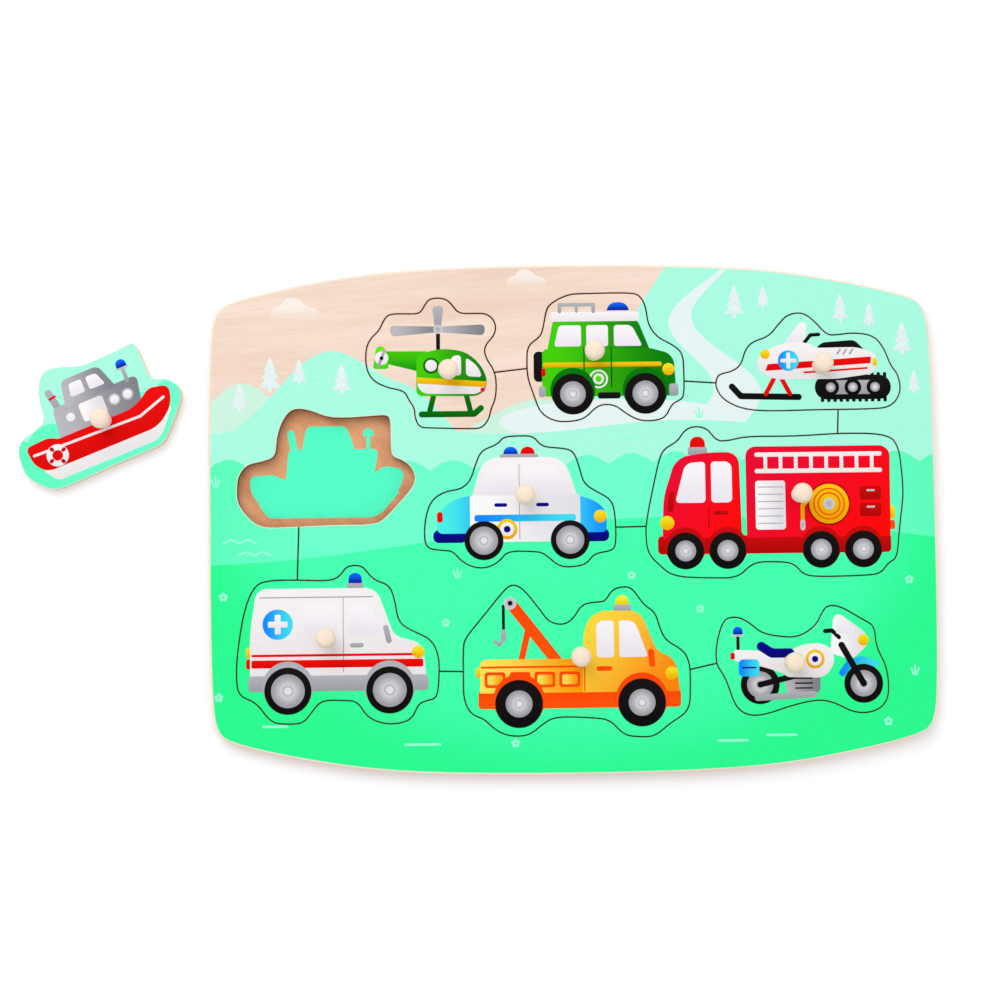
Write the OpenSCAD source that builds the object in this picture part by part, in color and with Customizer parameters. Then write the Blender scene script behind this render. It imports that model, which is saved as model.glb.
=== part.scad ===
// Peg puzzle: a front sheet with nine sawn-out vehicles, glued on a plain back sheet.
// Each vehicle is the very wood that the saw cut free, so it fits its own pocket with
// the saw cut as its play, and carries a turned peg to lift it by. The boat lies beside
// the board, flat on the table, and leaves its pocket open.
// Millimetres. +X along the board, +Y up the picture, +Z out of the picture; the origin
// is under the middle of the board.

/* [Board] */
// Length of the board
board_l = 300; // [288:1:330]
// Height of the board, seen as a picture
board_h = 210; // [203:1:230]
// Thickness of the front sheet, and so of every piece
front_t = 5; // [4.5:0.5:7]
// Thickness of the back sheet
back_t = 3; // [2:0.5:4]

/* [Saw cut] */
// Width of the saw cut round each piece, and of the cuts from pocket to pocket
kerf = 0.6; // [0.4:0.1:0.8]
// How far a cut from pocket to pocket runs on into the pocket at each end
run_in = 1.5; // [1:0.5:2]

/* [Peg] */
// Height of a peg above its piece
peg_h = 12; // [10.5:0.5:14]
// Diameter of the head
peg_head_d = 8.4; // [8:0.2:10]
// Height of the head's dome
peg_dome_h = 3.4; // [2.8:0.2:4.2]
// Diameter of the waist
peg_waist_d = 5; // [4.6:0.2:6]
// Height of the narrowest place above the piece
peg_waist_z = 4.4; // [3.6:0.2:5]
// Diameter of the foot that stands on the piece
peg_foot_d = 6.6; // [6.2:0.2:7.8]
// Height of the foot's straight rim
peg_rim_h = 1; // [0.6:0.2:1.4]
// Diameter of the tenon glued into the piece
tenon_d = 4; // [3.6:0.1:4.4]
// Length of the tenon
tenon_l = 4; // [3:0.5:4]
// Gap for the glue, round the tenon and under it
glue_gap = 0.05; // [0.03:0.01:0.1]

/* [Size of each piece] */
// Length of the helicopter
helicopter_l = 54; // [51:0.5:57]
// Height of the helicopter
helicopter_h = 54.5; // [51:0.5:57]
// Length of the off-road car
off_road_car_l = 65; // [61:0.5:69]
// Height of the off-road car
off_road_car_h = 53.5; // [50:0.5:57]
// Length of the snowmobile
snowmobile_l = 76.5; // [72:0.5:80]
// Height of the snowmobile
snowmobile_h = 40.5; // [38:0.5:43]
// Length of the boat
boat_l = 72.5; // [68:0.5:77]
// Height of the boat
boat_h = 48; // [45:0.5:51]
// Length of the police car
police_car_l = 78.5; // [74:0.5:83]
// Height of the police car
police_car_h = 54.5; // [51:0.5:57]
// Length of the fire engine
fire_engine_l = 107; // [101:0.5:112]
// Height of the fire engine
fire_engine_h = 62.5; // [59:0.5:65]
// Length of the ambulance
ambulance_l = 82.5; // [78:0.5:87]
// Height of the ambulance
ambulance_h = 65; // [61:0.5:68]
// Length of the tow truck
tow_truck_l = 93; // [88:0.5:97]
// Height of the tow truck
tow_truck_h = 62.5; // [59:0.5:65]
// Length of the motorcycle
motorcycle_l = 70.5; // [67:0.5:75]
// Height of the motorcycle
motorcycle_h = 44.5; // [42:0.5:47]

/* [Loose boat] */
// Distance from the board's left edge to the middle of the boat that lies beside it
boat_beside = 47; // [44:1:70]
// How far up the picture it lies from the board's middle
boat_up = 46; // [-50:1:60]
// Angle that it is turned by
boat_turn = 22; // [0:1:30]

/* [Hidden] */
$fn = 48;
overrun = 1; // how far a cutting shape stands out of the face that it cuts
arc_steps = 4; // chords in the arc at each handle of an outline
turn_steps = 6; // chords in each curve of the peg's turned profile
dome_share = 0.72; // how full the head's dome is; 1 would be an ellipse
kerf_half = kerf / 2;
tenon_r = tenon_d / 2;
foot_r = peg_foot_d / 2;
waist_r = peg_waist_d / 2;
head_r = peg_head_d / 2;
head_z = peg_h - peg_dome_h;

// A closed outline is a list of handles, clockwise. The curve runs from the middle of
// each side between handles to the middle of the next, along the quadratic arc that the
// handle pulls out, so neighbouring arcs meet smoothly and straight sides stay straight.

// Top right quarter of the board, as shares of its length and height
board_shares = [[.1, .5], [.25, .4925], [.36, .47], [.47, .435], [.4925, .41], [.498, .33], [.5, .15]];

// Outlines of the pieces, as shares of the piece's length and height from its middle
helicopter_shares = [
    [-.15, .38], [-.08, .385], [-.045, .45], [-.005, .5], [.105, .5], [.16, .455], [.21, .38],
    [.335, .38], [.43, .38], [.495, .315], [.495, .22], [.405, .13], [.415, .04], [.495, -.075],
    [.495, -.26], [.45, -.355], [.44, -.42], [.385, -.495], [.295, -.5], [0, -.49], [-.1, -.485],
    [-.13, -.4], [-.13, -.34], [-.175, -.275], [-.205, -.205], [-.34, -.18], [-.45, -.125],
    [-.5, -.03], [-.5, .115], [-.465, .195], [-.395, .255], [-.355, .35], [-.305, .385]];
off_road_car_shares = [
    [-.37, .385], [-.325, .435], [-.23, .49], [-.14, .495], [.17, .5], [.23, .475], [.265, .385],
    [.275, .255], [.33, .15], [.43, .09], [.495, .025], [.5, -.105], [.5, -.31], [.47, -.345],
    [.42, -.37], [.38, -.475], [.31, -.5], [.215, -.5], [.13, -.445], [.055, -.37], [-.05, -.37],
    [-.13, -.475], [-.215, -.5], [-.325, -.5], [-.42, -.43], [-.455, -.3], [-.495, -.165],
    [-.5, -.045], [-.495, .095], [-.41, .16], [-.39, .245]];
snowmobile_shares = [
    [-.5, -.19], [-.485, -.12], [-.41, -.095], [-.36, -.025], [-.34, .12], [-.3, .21], [-.21, .26],
    [-.16, .375], [-.105, .49], [-.02, .51], [.045, .41], [.105, .275], [.155, .27], [.25, .295],
    [.36, .265], [.415, .14], [.45, -.05], [.49, -.14], [.505, -.325], [.45, -.475], [.34, -.495],
    [.025, -.495], [-.185, -.505], [-.345, -.49], [-.46, -.39], [-.5, -.265]];
boat_shares = [
    [-.495, -.075], [-.45, .025], [-.365, .05], [-.28, .09], [-.275, .255], [-.245, .4],
    [-.19, .51], [-.09, .495], [.025, .415], [.27, .435], [.345, .445], [.365, .41], [.365, .19],
    [.37, .08], [.445, .05], [.5, -.045], [.5, -.15], [.43, -.275], [.335, -.43], [.275, -.49],
    [.05, -.485], [-.265, -.505], [-.375, -.5], [-.445, -.41], [-.5, -.29], [-.5, -.17]];
police_car_shares = [
    [-.505, -.235], [-.495, -.095], [-.465, .02], [-.395, .085], [-.31, .1], [-.26, .16],
    [-.23, .295], [-.2, .395], [-.115, .435], [-.085, .495], [-.005, .5], [.075, .5], [.115, .415],
    [.215, .405], [.285, .385], [.315, .25], [.335, .13], [.41, .065], [.485, .005], [.5, -.145],
    [.5, -.345], [.47, -.38], [.385, -.395], [.345, -.475], [.28, -.495], [.2, -.495],
    [.12, -.385], [.06, -.375], [-.07, -.37], [-.11, -.445], [-.17, -.495], [-.245, -.495],
    [-.315, -.44], [-.355, -.365], [-.41, -.36], [-.495, -.345]];
fire_engine_shares = [
    [-.5, -.22], [-.495, -.11], [-.465, .125], [-.44, .305], [-.42, .36], [-.37, .405],
    [-.34, .485], [-.3, .505], [-.255, .49], [-.22, .405], [-.175, .405], [-.105, .435],
    [.085, .43], [.27, .45], [.445, .44], [.485, .36], [.495, .195], [.5, .035], [.48, -.19],
    [.47, -.385], [.435, -.41], [.405, -.485], [.335, -.495], [.165, -.5], [.105, -.485],
    [.07, -.405], [-.01, -.395], [-.09, -.4], [-.145, -.5], [-.235, -.5], [-.395, -.49],
    [-.445, -.415], [-.49, -.34]];
ambulance_shares = [
    [-.505, -.2], [-.5, -.05], [-.465, .225], [-.415, .375], [-.35, .41], [-.19, .41], [-.025, .4],
    [.02, .445], [.045, .495], [.12, .5], [.155, .44], [.19, .4], [.26, .37], [.285, .265],
    [.3, .13], [.38, .075], [.465, .025], [.5, -.08], [.5, -.2], [.49, -.34], [.445, -.355],
    [.395, -.375], [.365, -.47], [.3, -.5], [.22, -.5], [.14, -.455], [.095, -.355], [.025, -.35],
    [-.085, -.345], [-.135, -.425], [-.175, -.49], [-.25, -.495], [-.335, -.485], [-.405, -.355],
    [-.495, -.315]];
tow_truck_shares = [
    [-.5, -.115], [-.5, .095], [-.49, .16], [-.415, .29], [-.325, .455], [-.285, .51],
    [-.235, .485], [-.16, .34], [-.12, .255], [-.055, .235], [-.01, .28], [.025, .37],
    [.085, .385], [.13, .385], [.16, .465], [.21, .485], [.25, .475], [.3, .36], [.35, .315],
    [.37, .205], [.395, .125], [.47, .065], [.5, -.02], [.5, -.18], [.495, -.335], [.41, -.41],
    [.34, -.5], [.265, -.5], [.2, -.485], [.145, -.385], [.06, -.37], [-.1, -.36], [-.155, -.41],
    [-.215, -.485], [-.305, -.485], [-.365, -.44], [-.41, -.37], [-.47, -.34], [-.5, -.24]];
motorcycle_shares = [
    [-.5, -.03], [-.5, .13], [-.47, .315], [-.435, .4], [-.365, .405], [-.3, .35], [-.235, .255],
    [-.13, .22], [-.015, .21], [.09, .32], [.125, .445], [.16, .505], [.23, .495], [.365, .365],
    [.43, .31], [.435, .115], [.485, -.03], [.505, -.185], [.5, -.375], [.43, -.48], [.305, -.495],
    [.185, -.39], [.09, -.36], [-.07, -.415], [-.225, -.5], [-.33, -.5], [-.395, -.41],
    [-.43, -.23], [-.46, -.12]];

// Place of each pocket's middle, as shares of the board's length and height
helicopter_place_shares = [-.193, .307];
off_road_car_place_shares = [.047, .317];
snowmobile_place_shares = [.327, .3035];
boat_place_shares = [-.339, .104];
police_car_place_shares = [-.073, .0325];
fire_engine_place_shares = [.277, .0275];
ambulance_place_shares = [-.324, -.2425];
tow_truck_place_shares = [.0015, -.28];
motorcycle_place_shares = [.31, -.284];

// Place of each peg, as shares of its piece's length and height from the middle
helicopter_peg_shares = [.13, -.065];
off_road_car_peg_shares = [-.075, .03];
snowmobile_peg_shares = [.065, -.04];
boat_peg_shares = [.03, -.095];
police_car_peg_shares = [.025, .045];
fire_engine_peg_shares = [.095, .045];
ambulance_peg_shares = [-.055, .045];
tow_truck_peg_shares = [.015, .03];
motorcycle_peg_shares = [-.06, -.015];

// A piece: its length and height, its outline, its pocket's place and its peg's place
helicopter = [[helicopter_l, helicopter_h],
    helicopter_shares, helicopter_place_shares, helicopter_peg_shares];
off_road_car = [[off_road_car_l, off_road_car_h],
    off_road_car_shares, off_road_car_place_shares, off_road_car_peg_shares];
snowmobile = [[snowmobile_l, snowmobile_h],
    snowmobile_shares, snowmobile_place_shares, snowmobile_peg_shares];
boat = [[boat_l, boat_h],
    boat_shares, boat_place_shares, boat_peg_shares];
police_car = [[police_car_l, police_car_h],
    police_car_shares, police_car_place_shares, police_car_peg_shares];
fire_engine = [[fire_engine_l, fire_engine_h],
    fire_engine_shares, fire_engine_place_shares, fire_engine_peg_shares];
ambulance = [[ambulance_l, ambulance_h],
    ambulance_shares, ambulance_place_shares, ambulance_peg_shares];
tow_truck = [[tow_truck_l, tow_truck_h],
    tow_truck_shares, tow_truck_place_shares, tow_truck_peg_shares];
motorcycle = [[motorcycle_l, motorcycle_h],
    motorcycle_shares, motorcycle_place_shares, motorcycle_peg_shares];
PIECES = [helicopter, off_road_car, snowmobile, boat, police_car, fire_engine, ambulance,
    tow_truck, motorcycle];

// The saw's way from pocket to pocket, along two runs of neighbours: each cut joins a
// place in one piece's pocket to a place in the next one's, as shares of the two pieces
LINK_shares = [
    [helicopter, [.5, -.07], off_road_car, [-.5, -.085]],
    [off_road_car, [.5, -.195], snowmobile, [-.5, -.21]],
    [snowmobile, [.16, -.49], fire_engine, [.25, .44]],
    [police_car, [.5, -.2], fire_engine, [-.495, -.155]],
    [boat, [-.155, -.5], ambulance, [-.2, .405]],
    [ambulance, [.5, -.175], tow_truck, [-.5, -.06]],
    [tow_truck, [.5, -.065], motorcycle, [-.5, -.02]]];

// Each pair of values multiplied one by one
function scaled(pair, size) = [pair.x * size.x, pair.y * size.y];

function reversed(list) = [for (i = [len(list) - 1 : -1 : 0]) list[i]];

// The closed curve that the handles pull out, moved outwards by grow
function curve(handles, grow = 0) = [
    for (i = [0 : len(handles) - 1], k = [0 : arc_steps - 1])
        let (count = len(handles),
            handle = handles[i],
            start = (handles[(i + count - 1) % count] + handle) / 2,
            end = (handle + handles[(i + 1) % count]) / 2,
            t = k / arc_steps,
            way = (1 - t) * (handle - start) + t * (end - handle),
            point = (1 - t) * (1 - t) * start + 2 * t * (1 - t) * handle + t * t * end)
        point + grow * [-way.y, way.x] / norm(way)];

function piece_curve(piece, grow) = curve([for (share = piece[1]) scaled(share, piece[0])], grow);

function pocket_middle(piece) = scaled(piece[2], [board_l, board_h]);

// A place on a piece that sits in its pocket
function in_place(piece, shares) = pocket_middle(piece) + scaled(shares, piece[0]);

module board_face() {
    quarter = [for (share = board_shares) scaled(share, [board_l, board_h])];
    right = concat(quarter, [for (p = reversed(quarter)) [p.x, -p.y]]);
    polygon(curve(concat(right, [for (p = right) -p])));
}

module pocket_cut(piece)
    translate(pocket_middle(piece)) polygon(piece_curve(piece, kerf_half));

// One straight cut of the saw, which runs on into both pockets
module link_cut(link) {
    start = in_place(link[0], link[1]);
    way = in_place(link[2], link[3]) - start;
    translate(start) rotate(atan2(way.y, way.x)) translate([-run_in, -kerf_half])
        square([norm(way) + 2 * run_in, kerf]);
}

module front_sheet() color("aquamarine") translate([0, 0, back_t]) linear_extrude(front_t)
    difference() {
        board_face();
        for (piece = PIECES) pocket_cut(piece);
        for (link = LINK_shares) link_cut(link);
    }

module back_sheet() color("peru") linear_extrude(back_t) board_face();

// The sawn plate, standing at z = 0, with the blind hole for its peg's tenon
module plate(piece) difference() {
    linear_extrude(front_t) polygon(piece_curve(piece, -kerf_half));
    translate(scaled(piece[3], piece[0])) translate([0, 0, front_t - tenon_l - glue_gap])
        cylinder(r = tenon_r + glue_gap, h = tenon_l + glue_gap + overrun);
}

// Half the peg's section, up its axis from the tenon's end: [radius, height above the piece]
function peg_section() = concat(
    [[0, -tenon_l], [tenon_r, -tenon_l], [tenon_r, 0], [foot_r, 0]],
    [for (i = [0 : turn_steps - 1]) let (a = 90 * i / turn_steps)
        [waist_r + (foot_r - waist_r) * (1 - sin(a)), peg_rim_h + (peg_waist_z - peg_rim_h) * (1 - cos(a))]],
    [for (i = [0 : turn_steps - 1]) let (a = 90 * i / turn_steps)
        [waist_r + (head_r - waist_r) * (1 - cos(a)), peg_waist_z + (head_z - peg_waist_z) * sin(a)]],
    [for (i = [0 : turn_steps - 1]) let (a = 90 * i / turn_steps)
        [head_r * pow(cos(a), dome_share), head_z + peg_dome_h * pow(sin(a), dome_share)]],
    [[0, peg_h]]);

// The turned peg, seated on its piece's face
module peg(piece) translate(scaled(piece[3], piece[0])) translate([0, 0, front_t])
    rotate_extrude() polygon(peg_section());

// Where a piece stands: on the back sheet in its own pocket
module in_pocket(piece) translate(pocket_middle(piece)) translate([0, 0, back_t]) children();

// Where the boat lies: on the table, left of the board
module beside_board() translate([-board_l / 2 - boat_beside, boat_up]) rotate(boat_turn) children();

module boat_plate() color("crimson") beside_board() plate(boat);
module boat_peg() color("bisque") beside_board() peg(boat);
module helicopter_plate() color("green") in_pocket(helicopter) plate(helicopter);
module helicopter_peg() color("bisque") in_pocket(helicopter) peg(helicopter);
module off_road_car_plate() color("limegreen") in_pocket(off_road_car) plate(off_road_car);
module off_road_car_peg() color("bisque") in_pocket(off_road_car) peg(off_road_car);
module snowmobile_plate() color("mistyrose") in_pocket(snowmobile) plate(snowmobile);
module snowmobile_peg() color("bisque") in_pocket(snowmobile) peg(snowmobile);
module police_car_plate() color("deepskyblue") in_pocket(police_car) plate(police_car);
module police_car_peg() color("bisque") in_pocket(police_car) peg(police_car);
module fire_engine_plate() color("red") in_pocket(fire_engine) plate(fire_engine);
module fire_engine_peg() color("bisque") in_pocket(fire_engine) peg(fire_engine);
module ambulance_plate() color("whitesmoke") in_pocket(ambulance) plate(ambulance);
module ambulance_peg() color("bisque") in_pocket(ambulance) peg(ambulance);
module tow_truck_plate() color("orange") in_pocket(tow_truck) plate(tow_truck);
module tow_truck_peg() color("bisque") in_pocket(tow_truck) peg(tow_truck);
module motorcycle_plate() color("gainsboro") in_pocket(motorcycle) plate(motorcycle);
module motorcycle_peg() color("bisque") in_pocket(motorcycle) peg(motorcycle);

front_sheet();
back_sheet();
boat_plate();
boat_peg();
helicopter_plate();
helicopter_peg();
off_road_car_plate();
off_road_car_peg();
snowmobile_plate();
snowmobile_peg();
police_car_plate();
police_car_peg();
fire_engine_plate();
fire_engine_peg();
ambulance_plate();
ambulance_peg();
tow_truck_plate();
tow_truck_peg();
motorcycle_plate();
motorcycle_peg();
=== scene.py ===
"""Dresses the peg puzzle: the sawn and printed board, its nine vehicles and their turned pegs."""

import logging
import math
from collections.abc import Callable
from dataclasses import dataclass, field
from enum import Enum, IntEnum

import bmesh
import bpy
from mathutils import Matrix, Vector


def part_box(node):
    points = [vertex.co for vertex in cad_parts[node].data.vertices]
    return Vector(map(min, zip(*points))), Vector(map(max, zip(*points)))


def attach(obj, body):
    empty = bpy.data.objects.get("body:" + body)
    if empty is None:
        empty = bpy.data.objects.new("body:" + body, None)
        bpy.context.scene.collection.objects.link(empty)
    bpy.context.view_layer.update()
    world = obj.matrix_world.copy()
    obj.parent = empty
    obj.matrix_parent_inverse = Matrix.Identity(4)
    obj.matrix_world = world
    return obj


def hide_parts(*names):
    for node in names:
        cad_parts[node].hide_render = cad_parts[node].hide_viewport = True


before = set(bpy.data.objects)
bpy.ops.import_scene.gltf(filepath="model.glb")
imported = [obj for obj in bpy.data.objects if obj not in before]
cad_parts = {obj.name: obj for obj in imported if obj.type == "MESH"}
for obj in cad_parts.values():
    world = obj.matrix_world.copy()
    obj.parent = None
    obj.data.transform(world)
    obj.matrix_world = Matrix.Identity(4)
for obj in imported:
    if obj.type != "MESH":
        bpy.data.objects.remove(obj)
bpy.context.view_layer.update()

log = logging.getLogger("peg_puzzle")

MM = 0.001
SHEET_FOOT = 3.0  # where the front sheet and the pieces in their pockets stand, mm
SHEET_TOP = 8.0  # the printed face, mm
PRINT_MAP = "print"  # UV map that runs from 0 to 1 over each printed shape
WELD = 0.002  # points nearer to each other than this are one, mm
LEVEL = 0.98  # upward share of its normal, past which a face is level
UPRIGHT = 0.2  # and below which a face is upright

Colour = tuple[float, float, float, float]
Point = tuple[float, ...]


def paint(red: int, green: int, blue: int) -> Colour:
    """Turns a screen colour into the linear one that a shader takes.

    Args:
        red: Red, 0 to 255.
        green: Green, 0 to 255.
        blue: Blue, 0 to 255.

    Returns:
        The linear colour with an alpha of 1.
    """
    linear = [
        part / 12.92 if part <= 0.04045 else ((part + 0.055) / 1.055) ** 2.4
        for part in (red / 255, green / 255, blue / 255)
    ]
    return (linear[0], linear[1], linear[2], 1.0)


UNLIT = paint(0, 0, 0)  # what a tone is mixed with to darken it


# Shader maths


class Wire:
    """A value in a finish's node tree, with the sums that a pattern needs."""

    def __init__(self, recipe: "Recipe", socket: bpy.types.NodeSocket) -> None:
        """Wraps one output socket.

        Args:
            recipe: The node tree that the socket is in.
            socket: The output socket.
        """
        self.recipe = recipe
        self.socket = socket

    def sum(self, operation: str, *others: "Wire | float") -> "Wire":
        """Adds a Math node with this value first.

        Args:
            operation: The Math node's operation.
            *others: Its other values.

        Returns:
            The result.
        """
        values = dict(enumerate((self, *others)))
        return self.recipe.add("ShaderNodeMath", {"operation": operation}, values)

    def __add__(self, other: "Wire | float") -> "Wire":
        """This value plus another."""
        return self.sum("ADD", other)

    __radd__ = __add__

    def __sub__(self, other: "Wire | float") -> "Wire":
        """This value less another."""
        return self.sum("SUBTRACT", other)

    def __rsub__(self, other: float) -> "Wire":
        """A number less this value."""
        return self.sum("MULTIPLY", -1.0).sum("ADD", other)

    def __mul__(self, other: "Wire | float") -> "Wire":
        """This value times another."""
        return self.sum("MULTIPLY", other)

    __rmul__ = __mul__

    def __truediv__(self, other: "Wire | float") -> "Wire":
        """This value over another."""
        return self.sum("DIVIDE", other)

    def __rtruediv__(self, other: float) -> "Wire":
        """A number over this value."""
        return self.sum("POWER", -1.0).sum("MULTIPLY", other)

    def __neg__(self) -> "Wire":
        """The value with its sign turned."""
        return self.sum("MULTIPLY", -1.0)

    def wave(self) -> "Wire":
        """Its sine."""
        return self.sum("SINE")

    def size(self) -> "Wire":
        """It without its sign."""
        return self.sum("ABSOLUTE")

    def bell(self, middle: float, width: float) -> "Wire":
        """A smooth bump, 1 at the middle.

        Args:
            middle: Where the bump is highest.
            width: How far from there it has fallen to about a third.

        Returns:
            The bump's height.
        """
        share = (self - middle) / width
        return (-(share * share)).sum("EXPONENT")

    def rise(self, start: float, end: float) -> "Wire":
        """A smooth step from 0 to 1.

        Args:
            start: Where it leaves 0.
            end: Where it reaches 1.

        Returns:
            The step's height.
        """
        return self.recipe.add(
            "ShaderNodeMapRange",
            {"interpolation_type": "SMOOTHSTEP"},
            {"Value": self, "From Min": start, "From Max": end},
        )

    def inside(self, blur: float = 0.08) -> "Wire":
        """1 where it is above zero, with an edge twice as wide as the blur."""
        return self.rise(-blur, blur)


class Recipe:
    """The node tree of one finish, or of the room's light."""

    def __init__(self, name: str, shelf: bpy.types.bpy_prop_collection | None = None) -> None:
        """Starts an empty material, or a world.

        Args:
            name: Its name.
            shelf: Where it is made, which is among the materials where it isn't given.
        """
        self.made = (bpy.data.materials if shelf is None else shelf).new(name)
        self.made.use_nodes = True
        self.tree = self.made.node_tree
        self.tree.nodes.clear()

    def add(
        self,
        kind: str,
        settings: dict[str, object] | None = None,
        sockets: dict[str | int, object] | None = None,
        output: int = 0,
    ) -> Wire:
        """Adds a node.

        Args:
            kind: The node's type.
            settings: Its settings, which are set first.
            sockets: Values or wires for its sockets.
            output: Which of its outputs is wanted.

        Returns:
            That output, or the first input where it has no output.
        """
        node = self.tree.nodes.new(kind)
        for name, value in (settings or {}).items():
            setattr(node, name, value)
        for name, value in (sockets or {}).items():
            if isinstance(value, Wire):
                self.tree.links.new(value.socket, node.inputs[name])
            else:
                node.inputs[name].default_value = value
        return Wire(self, node.outputs[output] if len(node.outputs) else node.inputs[0])

    def mix(self, under: Wire | Colour, over: Wire | Colour, share: Wire | float) -> Wire:
        """Lays one colour over another.

        Args:
            under: The colour below.
            over: The colour on top.
            share: How much of the top colour shows.

        Returns:
            The mixed colour.
        """
        return self.add(
            "ShaderNodeMix", {"data_type": "RGBA"}, {0: share, 6: under, 7: over}, output=2
        )

    def place(self, turn: float = 0.0, shift: Point = (0, 0, 0), stretch: Point = (1, 1, 1)) -> Wire:
        """The place on the object in millimetres.

        Args:
            turn: How far the pattern is turned about Z, in degrees.
            shift: How far it is moved after that.
            stretch: What each axis is multiplied by before that.

        Returns:
            The place as a vector.
        """
        return self.add(
            "ShaderNodeMapping",
            {"vector_type": "POINT"},
            {
                "Vector": self.add("ShaderNodeTexCoord", output=3),
                "Scale": tuple(axis / MM for axis in stretch),
                "Rotation": (0, 0, math.radians(turn)),
                "Location": shift,
            },
        )

    def stretched(self, place: Wire, stretch: Point, turn: float = 0.0) -> Wire:
        """A place turned and then stretched, for a pattern with a direction.

        Args:
            place: The place as a vector.
            stretch: What each axis is multiplied by.
            turn: Turn about Z in degrees.

        Returns:
            The new vector.
        """
        turned = self.add(
            "ShaderNodeMapping",
            {"vector_type": "POINT"},
            {"Vector": place, "Rotation": (0, 0, math.radians(turn))},
        )
        return self.add(
            "ShaderNodeVectorMath", {"operation": "MULTIPLY"}, {0: turned, 1: tuple(stretch)}
        )

    def axes(self, place: Wire) -> tuple[Wire, Wire, Wire]:
        """The three parts of a place."""
        split = self.add("ShaderNodeSeparateXYZ", None, {0: place}).socket.node
        return tuple(Wire(self, split.outputs[axis]) for axis in range(3))

    def noise(self, place: Wire, scale: float, detail: float = 3.0, rough: float = 0.5) -> Wire:
        """Cloudy noise.

        Args:
            place: Where it is read.
            scale: Lumps to a millimetre.
            detail: Number of finer layers.
            rough: Strength of the finer layers.

        Returns:
            A value from 0 to 1, about 0.5 on average.
        """
        sockets = {"Vector": place, "Scale": scale, "Detail": detail, "Roughness": rough}
        return self.add("ShaderNodeTexNoise", None, sockets)

    def seen(self) -> Wire:
        """Picks out the rays that show what is behind the object: the eye's, glossy and see-through.

        Returns:
            1 for such a ray and 0 for the rest.
        """
        path = self.add("ShaderNodeLightPath").socket.node.outputs
        rays = [Wire(self, path[f"Is {kind} Ray"]) for kind in ("Camera", "Glossy", "Transmission")]
        return (rays[0] + rays[1] + rays[2]).sum("MINIMUM", 1.0)

    def finish(
        self,
        colour: Wire | Colour,
        rough: Wire | float,
        height: Wire,
        depth: float,
        gloss: float = 0.2,
    ) -> None:
        """Ends the tree with a shader and the material's output.

        Args:
            colour: Base colour.
            rough: Roughness.
            height: Height of the fine relief, 0 to 1.
            depth: How deep that relief is, in millimetres.
            gloss: Strength of the gloss, where 0.5 is plain varnish.
        """
        normal = self.add(
            "ShaderNodeBump", None, {"Strength": 1.0, "Distance": depth * MM, "Height": height}
        )
        shader = self.add(
            "ShaderNodeBsdfPrincipled",
            None,
            {
                "Base Color": colour,
                "Roughness": rough,
                "Specular IOR Level": gloss,
                "Normal": normal,
            },
        )
        self.add("ShaderNodeOutputMaterial", None, {"Surface": shader})


# Finishes


@dataclass(frozen=True)
class Veneer:
    """Pale sanded wood with long, faint grain that runs along X, slightly aslant."""

    name: str
    pale: Colour = paint(248, 226, 211)
    dark: Colour = paint(235, 207, 187)
    slant: float = -5.0  # degrees

    def grain(self, recipe: Recipe, place: Wire) -> Wire:
        """Streaks of early and late wood.

        Args:
            recipe: The node tree to add them to.
            place: Where they are read, in millimetres.

        Returns:
            A value from 0 to 1.
        """
        broad = recipe.noise(recipe.stretched(place, (0.012, 0.11, 0.1), self.slant), 1.0, 4.0, 0.55)
        fine = recipe.noise(recipe.stretched(place, (0.05, 1.1, 0.9), self.slant), 1.0, 3.0, 0.6)
        return (broad * 1.1 + fine * 0.7 - 0.4).rise(0.1, 0.9)

    def colour(self, recipe: Recipe, place: Wire) -> Wire:
        """The wood's colour at a place."""
        return recipe.mix(self.pale, self.dark, self.grain(recipe, place))

    def material(self) -> bpy.types.Material:
        """Bare veneer.

        Returns:
            The material.
        """
        recipe = Recipe(self.name)
        place = recipe.place()
        grain = self.grain(recipe, place)
        recipe.finish(recipe.mix(self.pale, self.dark, grain), 0.62 + grain * 0.1, grain, 0.03)
        return recipe.made


@dataclass(frozen=True)
class Plies:
    """The sawn edge of plywood: plies that turn their side grain and end grain to the eye in turn."""

    name: str
    foot: float  # height of the lowest ply's underside, mm
    ply: float = 1.25  # thickness of a ply, mm
    side: Colour = paint(250, 234, 216)
    end: Colour = paint(232, 204, 172)
    glue: Colour = paint(196, 160, 122)
    # These three set the painted shade that darkens the edge towards its foot, where shade falls deep in
    # a narrow cut.
    foot_shade: float = 0.0  # how strongly painted shade darkens it at its foot, where 1 is wholly
    foot_shade_colour: Colour = paint(78, 38, 16)
    unshaded: Point = (0.6, 4.2)  # heights over the foot between which the painted shade fades, mm

    def material(self) -> bpy.types.Material:
        """The edge's material.

        Returns:
            The material.
        """
        recipe = Recipe(self.name)
        place = recipe.place()
        high = recipe.axes(place)[2]
        beat = ((high - self.foot) * (math.pi / self.ply)).wave()
        cross = beat.inside(0.08)
        glue = (0.14 - beat.size()).inside(0.05)
        speck = recipe.noise(recipe.stretched(place, (3.0, 3.0, 1.2)), 1.0, 2.0)
        streak = recipe.noise(recipe.stretched(place, (0.25, 0.25, 7.0)), 1.0, 2.0)
        wood = recipe.mix(self.side, self.end, cross * (0.35 + speck * 0.7))
        wood = recipe.mix(wood, self.end, streak * 0.35)
        wood = recipe.mix(wood, self.glue, glue * 0.55)
        # painted shade, darkest at the foot of the edge
        if self.foot_shade:
            unshaded = (high - self.foot).rise(*self.unshaded)
            wood = recipe.mix(wood, self.foot_shade_colour, (1.0 - unshaded) * self.foot_shade)
        recipe.finish(wood, 0.75, speck * 0.5 + streak * 0.5, 0.05)
        return recipe.made


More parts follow.
